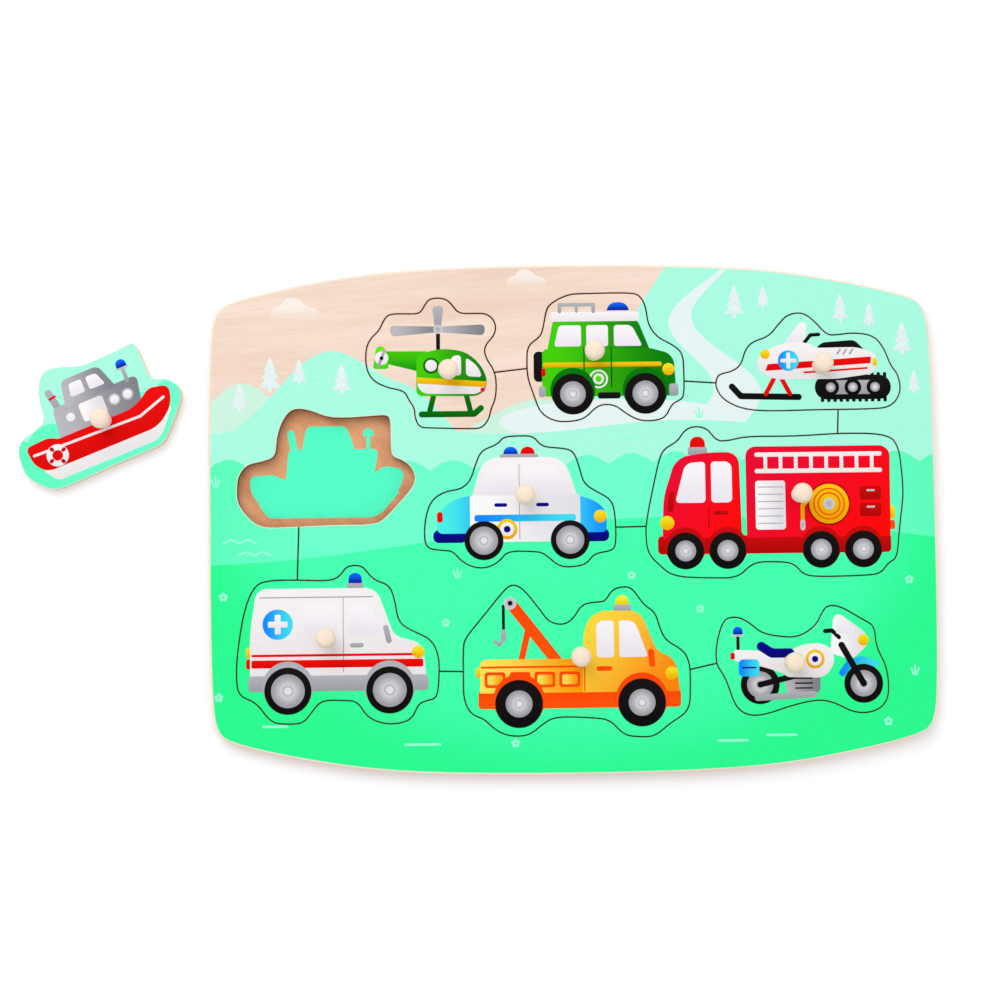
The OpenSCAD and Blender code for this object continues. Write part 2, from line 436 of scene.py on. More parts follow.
@dataclass(frozen=True)
class Fibreboard:
    """Smooth brown board of pressed wood fibre."""

    name: str = "fibreboard"
    light: Colour = paint(242, 182, 138)
    dark: Colour = paint(196, 126, 80)
    fleck: Colour = paint(150, 88, 50)

    def material(self) -> bpy.types.Material:
        """The board's material.

        Returns:
            The material.
        """
        recipe = Recipe(self.name)
        place = recipe.place()
        felt = recipe.noise(recipe.stretched(place, (1.4, 2.6, 2.0), 28.0), 1.0, 5.0, 0.7)
        cloud = recipe.noise(recipe.stretched(place, (0.05, 0.16, 0.1), 40.0), 1.0, 2.0)
        fibre = recipe.noise(recipe.stretched(place, (0.9, 5.0, 4.0), -35.0), 1.0, 2.0, 0.5)
        board = recipe.mix(self.light, self.dark, (felt * 0.8 + cloud * 0.45).rise(0.4, 0.86))
        board = recipe.mix(board, self.fleck, fibre.rise(0.62, 0.76) * 0.6)
        recipe.finish(board, 0.7, felt, 0.05)
        return recipe.made


@dataclass(frozen=True)
class TurnedWood:
    """Close-grained pale wood of the pegs, with its grain up the peg."""

    name: str = "peg_wood"
    pale: Colour = paint(252, 231, 212)
    dark: Colour = paint(249, 225, 204)

    def material(self) -> bpy.types.Material:
        """The pegs' material.

        Returns:
            The material.
        """
        recipe = Recipe(self.name)
        place = recipe.place()
        line = recipe.noise(recipe.stretched(place, (0.9, 0.5, 0.06)), 1.0, 2.0, 0.5)
        pore = recipe.noise(recipe.stretched(place, (3.0, 2.2, 0.4)), 1.0, 2.0)
        grain = (line * 0.85 + pore * 0.2).rise(0.25, 0.85)
        recipe.finish(recipe.mix(self.pale, self.dark, grain), 0.42 + grain * 0.12, grain, 0.008)
        return recipe.made


@dataclass(frozen=True)
class Swing:
    """A line that swings to and fro round a level."""

    level: float  # mm
    height: float  # how far it swings to each side, mm
    beat: float  # radians to a millimetre
    start: float = 0.0  # radians

    def line(self, place: Wire) -> Wire:
        """Its height at a place along it."""
        return (place * self.beat + self.start).wave() * self.height + self.level


@dataclass(frozen=True)
class Landscape:
    """The printed picture behind the vehicles: a bare wood sky, hills, a lane, hedges and meadows."""

    name: str
    turn: float = 0.0  # how far the picture is turned about Z, degrees
    shift: Point = (0.0, 0.0, 0.0)  # how far it is moved after that, mm
    hills: Colour = paint(168, 250, 224)
    far_hills: Colour = paint(196, 247, 226)
    lane: Colour = paint(229, 243, 242)
    hedge: Colour = paint(109, 255, 205)
    hedge_edge: Colour = paint(92, 252, 187)
    meadow: Colour = paint(66, 255, 176)
    field: Colour = paint(40, 250, 146)
    cloud: Colour = paint(249, 240, 234)
    wood: Veneer = Veneer("sky_wood")
    clouds: tuple[Point, ...] = ((-114.0, 82.0, 10.5), (-18.0, 95.0, 8.5))  # middle, foot, half length
    puffs: tuple[Point, ...] = (  # aside, up and radius, in half lengths of the cloud
        (-0.62, 0.3, 0.36),
        (0.62, 0.26, 0.34),
        (-0.1, 0.5, 0.5),
        (0.3, 0.3, 0.42),
    )
    far_foot: float = 30.0  # the far hills' height away from their peaks, mm
    far_peaks: tuple[Point, ...] = ((-136.0, 22.0, 27.0), (-14.0, 30.0, 19.0))  # middle, width, height
    near_foot: float = 28.0
    near_peaks: tuple[Point, ...] = ((-99.0, 33.0, 42.0), (-62.0, 15.0, 12.0))
    near_rise: Point = (-22.0, 64.0, 94.0)  # where they rise to the right, from and to, and how far
    lane_middle: Swing = Swing(57.0, 11.5, 0.105, -3.885)
    lane_half: Point = (36.0, 12.5, 0.168)  # a height, half the width there, and its loss to a mm above
    clearing: tuple[Point, Point] = ((20.0, 40.0), (50.0, 9.0))  # middle, half length and half height
    verge: Swing = Swing(37.5, 2.5, 0.043, -0.43)
    hedge_top: Swing = Swing(21.5, 1.6, 0.021)
    bushes: Swing = Swing(0.0, 4.2, 0.171, 0.6)
    slope: Swing = Swing(-9.0, 9.0, 0.0155, 0.9)  # top of the upper meadow
    dip: Swing = Swing(-58.0, 17.0, 0.019, -1.5)  # top of the lower meadow
    board: tuple[Point, Point] = ((0.0, 0.0), (150.0, 105.0))  # its middle and half its sides

    def puffy(self, along: Wire, up: Wire, middle: float, foot: float, half: float) -> Wire:
        """One cloud: puffs that fade into the sky at their foot.

        Args:
            along: The place's distance along the board.
            up: Its distance up the picture.
            middle: The cloud's middle.
            foot: Its foot.
            half: Half its length.

        Returns:
            How much of the cloud shows.
        """
        cloud: Wire | None = None
        for aside, high, radius in self.puffs:
            east, north = along - (middle + aside * half), up - (foot + high * half)
            puff = (radius * half - (east * east + north * north).sum("SQRT")).inside()
            cloud = puff if cloud is None else cloud.sum("MAXIMUM", puff)
        return cloud * up.rise(foot, foot + half * 0.75) * 0.85

    def ridge(self, along: Wire, foot: float, peaks: tuple[Point, ...]) -> Wire:
        """A skyline of rounded peaks.

        Args:
            along: The place's distance along the board.
            foot: The skyline's height away from the peaks.
            peaks: Each peak's middle, width and height.

        Returns:
            The skyline's height.
        """
        line: Wire | float = foot
        for middle, width, high in peaks:
            line = along.bell(middle, width) * high + line
        return line

    def oval(self, along: Wire, up: Wire, middle: Point, half: Point) -> Wire:
        """How far out of an oval's middle a place is.

        Args:
            along: The place's distance along the board.
            up: Its distance up the picture.
            middle: The oval's middle.
            half: Half its length and half its height.

        Returns:
            The square of that distance, 1 on the oval's rim.
        """
        wide, high = (along - middle[0]) / half[0], (up - middle[1]) / half[1]
        return wide * wide + high * high

    def with_hills(self, recipe: Recipe, colour: Wire, along: Wire, up: Wire) -> Wire:
        """Prints clouds, far hills and near hills over the wood, with the rise towards the lane.

        Args:
            recipe: The node tree to add them to.
            colour: What they are printed on.
            along: The place's distance along the board.
            up: Its distance up the picture.

        Returns:
            The colour with the hills on it.
        """
        for middle, foot, half in self.clouds:
            colour = recipe.mix(colour, self.cloud, self.puffy(along, up, middle, foot, half))
        far = self.ridge(along, self.far_foot, self.far_peaks)
        colour = recipe.mix(colour, self.far_hills, (far - up).inside() * 0.85)
        start, end, rise = self.near_rise
        near = self.ridge(along, self.near_foot, self.near_peaks) + along.rise(start, end) * rise
        return recipe.mix(colour, self.hills, (near - up).inside())

    def with_lane(self, recipe: Recipe, colour: Wire, along: Wire, up: Wire) -> Wire:
        """Prints the lane that winds down the hills to a clearing, and the verge below it.

        Args:
            recipe: The node tree to add them to.
            colour: What they are printed on.
            along: The place's distance along the board.
            up: Its distance up the picture.

        Returns:
            The colour with the lane on it.
        """
        level, half, loss = self.lane_half
        width = half - (up - level) * loss
        lane = (width - (along - self.lane_middle.line(up)).size()).inside()
        out = self.oval(along, up, *self.clearing)
        clearing = (1.0 - out.sum("SQRT")).inside(0.01)
        colour = recipe.mix(colour, self.lane, lane.sum("MAXIMUM", clearing))
        return recipe.mix(colour, self.hills, (self.verge.line(along) - up).inside())

    def with_meadows(self, recipe: Recipe, colour: Wire, along: Wire, up: Wire) -> Wire:
        """Prints the hedge and the two meadows below it, which deepen towards the board's rim.

        Args:
            recipe: The node tree to add them to.
            colour: What they are printed on.
            along: The place's distance along the board.
            up: Its distance up the picture.

        Returns:
            The colour with the meadows on it.
        """
        outwards = self.oval(along, up, *self.board)
        bushes = self.bushes.line(along).size() + self.hedge_top.line(along)
        hedge = recipe.mix(self.hedge, self.hedge_edge, outwards.rise(0.35, 1.1))
        colour = recipe.mix(colour, hedge, (bushes - up).inside())
        meadow = recipe.mix(self.meadow, self.field, outwards.rise(0.55, 1.08))
        colour = recipe.mix(colour, meadow, (self.slope.line(along) - up).inside())
        return recipe.mix(colour, self.field, (self.dip.line(along) - up).inside() * 0.2)

    def material(self) -> bpy.types.Material:
        """The printed face's material.

        Returns:
            The material.
        """
        recipe = Recipe(self.name)
        place = recipe.place(self.turn, self.shift)
        along, up, _ = recipe.axes(place)
        grain = self.wood.grain(recipe, place)
        colour = recipe.mix(self.wood.pale, self.wood.dark, grain)
        for printed in (self.with_hills, self.with_lane, self.with_meadows):
            colour = printed(recipe, colour, along, up)
        mottle = recipe.noise(place, 0.35, 4.0, 0.6)
        colour = recipe.mix(colour, UNLIT, mottle.rise(0.35, 0.75) * 0.025)
        tooth = recipe.noise(recipe.stretched(place, (0.5, 3.2, 1.0), self.wood.slant), 1.0, 2.0)
        relief = tooth * 0.6 + grain * 0.4
        recipe.finish(colour, 0.5 + mottle * 0.12, relief, depth=0.012, gloss=0.08)
        return recipe.made


class Fade(Enum):
    """Which way an ink's tone changes over a printed shape."""

    UP = "up"
    ACROSS = "across"
    ASLANT = "aslant"  # from the upper left to the lower right
    ROUND = "round"


@dataclass(frozen=True)
class Ink:
    """A printed ink that changes tone over each shape, with the wood's grain faintly through it."""

    name: str
    first: Colour  # at the foot, the left, the upper left, or the middle
    last: Colour  # at the top, the right, the lower right, or the rim
    fade: Fade = Fade.UP
    rough: float = 0.38

    def material(self) -> bpy.types.Material:
        """The ink's material, made once.

        Returns:
            The material.
        """
        made = bpy.data.materials.get(self.name)
        if made:
            return made
        recipe = Recipe(self.name)
        across, up, _ = recipe.axes(recipe.add("ShaderNodeUVMap", {"uv_map": PRINT_MAP}))
        match self.fade:
            case Fade.UP:
                tone = up
            case Fade.ACROSS:
                tone = across
            case Fade.ASLANT:
                tone = across * 0.6 + (1.0 - up) * 0.4
            case Fade.ROUND:
                east, north = across - 0.5, up - 0.5
                tone = (east * east + north * north).sum("SQRT") * 2.0
        place = recipe.place()
        mottle = recipe.noise(place, 0.5, 4.0, 0.6)
        colour = recipe.mix(self.first, self.last, tone.rise(0.0, 1.0))
        colour = recipe.mix(colour, UNLIT, mottle.rise(0.35, 0.75) * 0.03)
        tooth = recipe.noise(recipe.stretched(place, (0.5, 3.2, 1.0), -5.0), 1.0, 2.0)
        recipe.finish(colour, self.rough + mottle * 0.1, tooth, 0.01, gloss=0.04)
        return recipe.made


TYRE = Ink("ink_tyre", paint(6, 3, 4), paint(18, 13, 14))
HUB = Ink("ink_hub", paint(228, 227, 230), paint(158, 157, 164), Fade.ROUND, 0.3)
CAP = Ink("ink_hub_cap", paint(150, 150, 158), paint(184, 184, 191), Fade.ROUND)
WHITE = Ink("ink_white", paint(234, 229, 231), paint(246, 242, 243))
WHITE_ACROSS = Ink("ink_white_across", paint(251, 249, 249), paint(226, 224, 230), Fade.ACROSS)
GLASS = Ink("ink_glass", paint(235, 231, 240), paint(248, 244, 248), Fade.UP, 0.25)
GREY = Ink("ink_grey", paint(158, 159, 166), paint(176, 178, 184))
GREY_ACROSS = Ink("ink_grey_across", paint(186, 184, 190), paint(128, 130, 138), Fade.ACROSS)
STEEL = Ink("ink_steel", paint(168, 170, 176), paint(204, 205, 210), Fade.ROUND)
BLACK = Ink("ink_black", paint(6, 4, 5), paint(18, 14, 15))
RED = Ink("ink_red", paint(221, 0, 0), paint(240, 4, 2))
RED_ASLANT = Ink("ink_red_aslant", paint(232, 4, 50), paint(255, 2, 0), Fade.ASLANT)
DEEP_RED = Ink("ink_deep_red", paint(176, 0, 0), paint(198, 4, 4))
BLUE = Ink("ink_blue", paint(2, 28, 158), paint(10, 104, 255))
SKY_BLUE = Ink("ink_sky_blue", paint(10, 138, 255), paint(60, 222, 240), Fade.ACROSS)
SKY_BLUE_BACK = Ink("ink_sky_blue_back", paint(70, 240, 230), paint(18, 150, 255), Fade.ACROSS)
NAVY = Ink("ink_navy", paint(0, 0, 112), paint(2, 4, 148))
LAMP = Ink("ink_lamp", paint(240, 178, 0), paint(248, 226, 30))
GOLD = Ink("ink_gold", paint(232, 168, 0), paint(246, 202, 12))
AMBER = Ink("ink_amber", paint(238, 208, 0), paint(236, 246, 60))
YELLOW_BODY = Ink("ink_yellow_body", paint(255, 226, 84), paint(252, 160, 0), Fade.ACROSS)
YELLOW_CAB = Ink("ink_yellow_cab", paint(250, 220, 64), paint(252, 130, 0), Fade.ASLANT)
ORANGE = Ink("ink_orange", paint(250, 84, 0), paint(255, 70, 0))
GREEN_ACROSS = Ink("ink_green_across", paint(66, 206, 0), paint(0, 122, 4), Fade.ACROSS)
GREEN = Ink("ink_green", paint(0, 152, 4), paint(64, 196, 0))
LIME = Ink("ink_lime", paint(70, 214, 0), paint(104, 232, 10))
DEEP_GREEN = Ink("ink_deep_green", paint(0, 96, 0), paint(0, 118, 4))
MIST = Ink("ink_mist", paint(222, 240, 240), paint(238, 246, 246))
SPRAY = Ink("ink_spray", paint(150, 255, 214), paint(160, 255, 220))
SHADOW = Ink("ink_pocket", paint(86, 255, 202), paint(86, 255, 202))


# Sheets


class Side(IntEnum):
    """Which of a sawn sheet's finishes a face takes."""

    PRINTED = 0
    SAWN = 1
    CORNER = 2
    UNDERSIDE = 3
    POCKET_WALL = 4


def beside(face: bmesh.types.BMFace) -> set[bmesh.types.BMFace]:
    """The faces that share an edge with a face."""
    return {other for edge in face.edges for other in edge.link_faces}


def gathered(parts: set, near: Callable[[object], set]) -> list[list]:
    """Sorts parts of a mesh into the groups that hang together.

    Args:
        parts: The parts, which may be edges or faces.
        near: What gives a part's neighbours.

    Returns:
        The groups, the one that spans the widest along X first.
    """
    groups = []
    while parts:
        waiting, group = [parts.pop()], []
        while waiting:
            part = waiting.pop()
            group.append(part)
            found = near(part) & parts
            parts -= found
            waiting.extend(found)
        groups.append(group)

    def span(group: list) -> float:
        """How far a group reaches along X."""
        places = [vert.co.x for part in group for vert in part.verts]
        return max(places) - min(places)

    return sorted(groups, key=span, reverse=True)


def hand_over(
    shape: bmesh.types.BMesh, name: str, finishes: list[bpy.types.Material]
) -> bpy.types.Object:
    """Makes an object of a finished bmesh and reports it.

    Args:
        shape: The bmesh, in metres in the shared frame. It is freed.
        name: The object's name.
        finishes: Its materials, in the order of the faces' indexes.

    Returns:
        The object, at the origin.
    """
    mesh = bpy.data.meshes.new(name)
    shape.to_mesh(mesh)
    shape.free()
    for finish in finishes:
        mesh.materials.append(finish)
    piece = bpy.data.objects.new(name, mesh)
    bpy.context.scene.collection.objects.link(piece)
    log.info("%s: %d faces, %d finishes", name, len(mesh.polygons), len(finishes))
    return piece


@dataclass
class SawnSheet:
    """A sheet as the saw left it, with its sharp edges eased by sanding."""

    node: str
    body: str
    slot: str
    finishes: list[bpy.types.Material]  # in the order of Side, the last where the walls have their own
    ease: float = 0.12  # mm
    outer_ease: float = 0.0  # mm, for the longest edge of the face where it isn't eased alike
    ease_steps: int = 3
    face_eased: bool = True
    underside_eased: bool = True
    worn: Point | None = None  # left, foot, right and top of the place where corners are bare, mm

    def rings(self, shape: bmesh.types.BMesh, upper: bool) -> list[list[bmesh.types.BMEdge]]:
        """The closed runs of sharp edges round one flat side.

        Args:
            shape: The sheet's bmesh.
            upper: Whether the face is wanted, and not the underside.

        Returns:
            Each run's edges, the run that spans the widest first.
        """
        side = 1.0 if upper else -1.0
        sharp = {
            edge
            for edge in shape.edges
            if len(edge.link_faces) == 2
            and max(side * face.normal.z for face in edge.link_faces) > LEVEL
            and min(abs(face.normal.z) for face in edge.link_faces) < UPRIGHT
        }
        return gathered(sharp, lambda edge: {other for vert in edge.verts for other in vert.link_edges})

    def dress(self, shape: bmesh.types.BMesh) -> None:
        """Gives each face the index of its finish.

        The eased corners round the pockets carry the print, apart from the worn place, where the
        bare wood shows.

        Args:
            shape: The sheet's bmesh.
        """
        for face in shape.faces:
            up = face.normal.z
            if up > LEVEL:
                face.material_index = Side.PRINTED
            elif up < -LEVEL:
                face.material_index = Side.UNDERSIDE
            else:
                face.material_index = Side.SAWN if abs(up) < UPRIGHT else Side.CORNER
        if len(self.finishes) <= Side.POCKET_WALL:
            return
        walls = {face for face in shape.faces if face.material_index == Side.SAWN}
        _, *inner = gathered(walls, beside)
        for face in (face for wall in inner for face in wall):
            face.material_index = Side.POCKET_WALL
        corners = {
            face
            for face in shape.faces
            if face.material_index == Side.CORNER and face.normal.z > 0
        }
        _, *inner = gathered(corners, beside)
        left, foot, right, top = (edge * MM for edge in self.worn)
        for face in (face for corner in inner for face in corner):
            spot = face.calc_center_median()
            if not (left < spot.x < right and foot < spot.y < top):
                face.material_index = Side.PRINTED

    def eased(self, shape: bmesh.types.BMesh, run: list[bmesh.types.BMEdge], size: float) -> None:
        """Rounds a run of edges over.

        Args:
            shape: The sheet's bmesh.
            run: The edges.
            size: How far the rounding reaches, mm.
        """
        bmesh.ops.bevel(
            shape,
            geom=run,
            offset=size * MM,
            offset_type="OFFSET",
            affect="EDGES",
            segments=self.ease_steps,
            profile=0.5,
            material=-1,
            clamp_overlap=True,
        )

    def build(self) -> bpy.types.Object:
        """Copies the node's solid, eases its edges and dresses it.

        Returns:
            The sheet, which stands for the node.
        """
        shape = bmesh.new()
        shape.from_mesh(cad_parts[self.node].data)
        bmesh.ops.remove_doubles(shape, verts=shape.verts, dist=WELD * MM)
        flat = [
            edge
            for edge in shape.edges
            if len(edge.link_faces) == 2 and all(abs(face.normal.z) > LEVEL for face in edge.link_faces)
        ]
        bmesh.ops.dissolve_limit(shape, angle_limit=math.radians(1.0), edges=flat, verts=[])
        for upper, wanted in ((True, self.face_eased), (False, self.underside_eased)):
            if wanted:
                widest, *others = self.rings(shape, upper)
                self.eased(shape, widest, self.outer_ease or self.ease)
                for run in others:
                    self.eased(shape, run, self.ease)
        self.dress(shape)
        bmesh.ops.triangulate(shape, faces=[face for face in shape.faces if len(face.verts) > 4])
        piece = hand_over(shape, f"sawn_{self.node}", self.finishes)
        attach(piece, self.body)
        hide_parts(self.node)
        return piece


# Pegs


@dataclass
class Peg:
    """A turned peg: a tenon in the piece, a foot, a waist and a domed head. Sizes are in mm."""

    node: str
    body: str
    finish: bpy.types.Material
    foot_radius: float = 3.3
    waist_radius: float = 2.5
    head_radius: float = 4.2
    tenon_radius: float = 2.0
    tenon: float = 4.0  # its length
    rim: float = 1.0  # height of the foot's rim
    waist: float = 4.4  # height of the narrowest place
    shoulder: float = 8.6  # height of the head's widest place
    height: float = 12.0
    turns: int = 32  # steps round the axis

    def section(self) -> list[Point]:
        """Half the peg's section, from the tenon's end to the crown.

        Returns:
            The section's points, each as radius and height.
        """
        foot, waist, head = self.foot_radius, self.waist_radius, self.head_radius
        dome = self.height - self.shoulder
        return [
            (0.0, -self.tenon),
            (self.tenon_radius, -self.tenon),
            (self.tenon_radius, 0.0),
            (foot - 0.15, 0.0),
            (foot, 0.15),
            (foot, self.rim - 0.2),
            (foot - 0.12, self.rim),
            (waist + 0.28, self.rim + 1.1),
            (waist + 0.03, self.waist - 0.9),
            (waist, self.waist),
            (waist + 0.08, self.waist + 1.0),
            (waist + 0.42, self.shoulder - 2.0),
            (head - 0.72, self.shoulder - 0.95),
            (head - 0.12, self.shoulder - 0.3),
            (head, self.shoulder + 0.25),
            (head - 0.18, self.shoulder + dome * 0.38),
            (head - 0.72, self.shoulder + dome * 0.63),
            (head - 1.6, self.shoulder + dome * 0.84),
            (head - 2.8, self.shoulder + dome * 0.965),
            (0.0, self.height),
        ]

    def build(self) -> bpy.types.Object:
        """Turns the peg on its axis and stands it where the node stands.

        Returns:
            The peg, which stands for the node.
        """
        low, high = (Vector(corner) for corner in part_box(self.node))
        middle = (low + high) / 2
        foot = low.z / MM + self.tenon
        shape = bmesh.new()
        ring = [shape.verts.new((radius, 0.0, high_up)) for radius, high_up in self.section()]
        run = [shape.edges.new(pair) for pair in zip(ring, ring[1:])]
        bmesh.ops.spin(
            shape,
            geom=ring + run,
            cent=(0, 0, 0),
            axis=(0, 0, 1),
            angle=math.tau,
            steps=self.turns,
            use_merge=True,
        )
        bmesh.ops.remove_doubles(shape, verts=shape.verts, dist=WELD)
        bmesh.ops.recalc_face_normals(shape, faces=shape.faces)
        for face in shape.faces:
            face.smooth = True
        bmesh.ops.scale(shape, vec=(MM, MM, MM), verts=shape.verts)
        bmesh.ops.translate(shape, vec=(middle.x, middle.y, foot * MM), verts=shape.verts)
        piece = hand_over(shape, f"turned_{self.node}", [self.finish])
        soften = piece.modifiers.new("soften", "SUBSURF")
        soften.levels = soften.render_levels = 1
        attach(piece, self.body)
        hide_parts(self.node)
        return piece


# Printed pictures


@dataclass
class InkPrint:
    """Layers of ink on one face, printed one over another, in millimetres of the board's picture."""

    name: str
    body: str
    slot: str
    face: float  # height of the face that takes the ink, mm
    only: Ink | None = None  # one ink for all of it, as in the shape printed on a pocket's floor
    place: Matrix = field(default_factory=lambda: Matrix.Identity(4))
    film: float = 0.015  # mm
    bend_steps: int = 6  # of a rounded corner
    circle_steps: int = 48
    whole: bmesh.types.BMesh = field(default_factory=bmesh.new)
    inks: list[Ink] = field(default_factory=list)
    # left, right, foot, top and level of each shape so far
    laid: list[tuple[float, float, float, float, int]] = field(default_factory=list)

    def press(self, shape: bmesh.types.BMesh, ink: Ink) -> None:
        """Gives a flat shape its thickness, just over what it lies on, and adds it to the print.

        Args:
            shape: The flat shape. It is freed.
            ink: Its ink.
        """
        ink = self.only or ink
        if ink not in self.inks:
            self.inks.append(ink)
        across = [vert.co.x for vert in shape.verts]
        upward = [vert.co.y for vert in shape.verts]
        left, right, foot, top = min(across), max(across), min(upward), max(upward)
        under = [
            level
            for west, east, south, north, level in self.laid
            if west < right and left < east and south < top and foot < north
        ]
        level = max(under, default=0) + 1
        self.laid.append((left, right, foot, top, level))
        raised = bmesh.ops.extrude_face_region(shape, geom=shape.faces[:])
        fresh = [part for part in raised["geom"] if isinstance(part, bmesh.types.BMVert)]
        bmesh.ops.translate(shape, vec=(0, 0, (level + 1) * self.film), verts=fresh)
        bmesh.ops.recalc_face_normals(shape, faces=shape.faces)
        spread = shape.loops.layers.uv.new(PRINT_MAP)
        for face in shape.faces:
            face.material_index = self.inks.index(ink)
            for loop in face.loops:
                spot = loop.vert.co
                loop[spread].uv = ((spot.x - left) / (right - left), (spot.y - foot) / (top - foot))
        mesh = bpy.data.meshes.new("pressed")
        shape.to_mesh(mesh)
        shape.free()
        self.whole.from_mesh(mesh)
        bpy.data.meshes.remove(mesh)

    def panel(self, ink: Ink, *corners: Point) -> None:
        """Prints a straight-sided shape with rounded corners.

        Args:
            ink: Its ink.
            *corners: Its corners in turn, each with how far it is rounded as a third number.
        """
        shape = bmesh.new()
        verts = [shape.verts.new((corner[0], corner[1], 0.0)) for corner in corners]
        shape.faces.new(verts)
        radii = [corner[2] if len(corner) > 2 else 0.0 for corner in corners]
        for radius in sorted(set(radii) - {0.0}):
            bmesh.ops.bevel(
                shape,
                geom=[vert for vert, each in zip(verts, radii) if each == radius],
                offset=radius,
                offset_type="OFFSET",
                affect="VERTICES",
                segments=self.bend_steps,
                profile=0.5,
                material=-1,
                clamp_overlap=True,
            )
        bmesh.ops.remove_doubles(shape, verts=shape.verts, dist=WELD)
        self.press(shape, ink)

    def block(
        self, ink: Ink, left: float, foot: float, right: float, top: float, corner: float
    ) -> None:
        """Prints an upright rectangle.

        Args:
            ink: Its ink.
            left: Its left side.
            foot: Its lower side.
            right: Its right side.
            top: Its upper side.
            corner: How far its corners are rounded.
        """
        self.panel(
            ink,
            (left, foot, corner),
            (left, top, corner),
            (right, top, corner),
            (right, foot, corner),
        )

    def round(self, across: float, up: float, radius: float) -> bmesh.types.BMesh:
        """Cuts out a round shape to print.

        Args:
            across: Its middle, along the board.
            up: Its middle, up the picture.
            radius: Its radius.

        Returns:
            The flat shape.
        """
        shape = bmesh.new()
        bmesh.ops.create_circle(
            shape,
            cap_ends=True,
            radius=radius,
            segments=self.circle_steps,
            matrix=Matrix.Translation((across, up, 0)),
        )
        return shape

    def disc(self, ink: Ink, across: float, up: float, radius: float) -> None:
        """Prints a disc."""
        self.press(self.round(across, up, radius), ink)

    def ring(self, ink: Ink, across: float, up: float, radius: float, width: float) -> None:
        """Prints a ring.

        Args:
            ink: Its ink.
            across: Its middle, along the board.
            up: Its middle, up the picture.
            radius: Its outer radius.
            width: How far it reaches inwards from there.
        """
        shape = self.round(across, up, radius)
        hole = shape.faces[:]
        bmesh.ops.inset_region(
            shape, faces=hole, thickness=width, use_even_offset=True, use_boundary=True
        )
        bmesh.ops.delete(shape, geom=hole, context="FACES_ONLY")
        self.press(shape, ink)

    def dome(self, ink: Ink, across: float, foot: float, half: float, high: float) -> None:
        """Prints a lamp's dome, with two well rounded shoulders.

        Args:
            ink: Its ink.
            across: Its middle.
            foot: Its foot.
            half: Half its width.
            high: Its height.
        """
        self.panel(
            ink,
            (across - half, foot),
            (across - half * 0.92, foot + high, half * 0.85),
            (across + half * 0.92, foot + high, half * 0.85),
            (across + half, foot),
        )

    def stroke(self, ink: Ink, width: float, *path: Point) -> None:
        """Prints a line with rounded ends and bends.

        Args:
            ink: Its ink.
            width: Its width.
            *path: The places that it runs through.
        """
        half = width / 2
        spots = [Vector(spot) for spot in path]
        ways = [(after - before).normalized() for before, after in zip(spots, spots[1:])]
        ways = [ways[0], *ways, ways[-1]]
        left, right = [], []
        for index, (spot, before, after) in enumerate(zip(spots, ways, ways[1:])):
            side = before.orthogonal() + after.orthogonal()
            side *= width / side.length_squared
            end = index in (0, len(spots) - 1)
            out = (before * (half if index else -half)) if end else Vector((0, 0))
            bend = half * (0.98 if end else 0.5)  # ends are all but half round
            left.append((*(spot + out + side), bend))
            right.append((*(spot + out - side), bend))
        self.panel(ink, *left, *reversed(right))

    def wheel(self, across: float, up: float, radius: float, hub: float) -> None:
        """Prints a tyre, and its hub and hub cap where the print has more than one ink.

        Args:
            across: Its middle, along the board.
            up: Its middle, up the picture.
            radius: The tyre's radius.
            hub: The hub's radius.
        """
        self.disc(TYRE, across, up, radius)
        if not self.only:
            self.disc(HUB, across, up, hub)
            self.ring(CAP, across, up, hub * 0.34, hub * 0.1)

    def build(self) -> bpy.types.Object:
        """Ends the print and puts it on its face.

        Returns:
            The print, as one piece.
        """
        turned = Matrix.Scale(MM, 4) @ self.place @ Matrix.Translation((0, 0, self.face - self.film))
        bmesh.ops.transform(self.whole, matrix=turned, verts=self.whole.verts)
        bmesh.ops.triangulate(self.whole, faces=self.whole.faces)
        piece = hand_over(self.whole, self.name, [ink.material() for ink in self.inks])
        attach(piece, self.body)
        return piece


def spoke(turn: float) -> Vector:
    """The way that a spoke points, at an angle in radians."""
    return Vector((math.cos(turn), math.sin(turn)))


@dataclass
class Picture:
    """One vehicle as it is printed on its piece. Each kind of vehicle draws itself."""

    name: str

    def outline(self, sheet: InkPrint) -> None:
        """Draws the large shapes, which are printed on the pocket's floor as well."""

    def details(self, sheet: InkPrint) -> None:
        """Draws what goes over the large shapes."""


@dataclass
class Wheeled(Picture):
    """A vehicle that is printed with round wheels."""

    axle: float = 0.0  # the wheels' height up the picture
    wheels: tuple[float, ...] = ()
    tyre: float = 8.0
    hub: float = 5.3

    def roll(self, sheet: InkPrint) -> None:
        """Prints the wheels."""
        for across in self.wheels:
            sheet.wheel(across, self.axle, self.tyre, self.hub)

    def stand(self, sheet: InkPrint) -> None:
        """Prints the wheels on a pocket's floor, where no details follow that print them."""
        if sheet.only:
            self.roll(sheet)

    def arch(self, sheet: InkPrint, ink: Ink, rise: float = 1.6, rim: float = 0.8) -> None:
        """Prints a wheel arch and then its wheel, one wheel after another.

        Args:
            sheet: The print to add them to.
            ink: The arch's ink.
            rise: How far the arch is above the wheel.
            rim: How far the arch is wider than the tyre.
        """
        for across in self.wheels:
            sheet.disc(ink, across, self.axle + rise, self.tyre + rim)
            sheet.wheel(across, self.axle, self.tyre, self.hub)


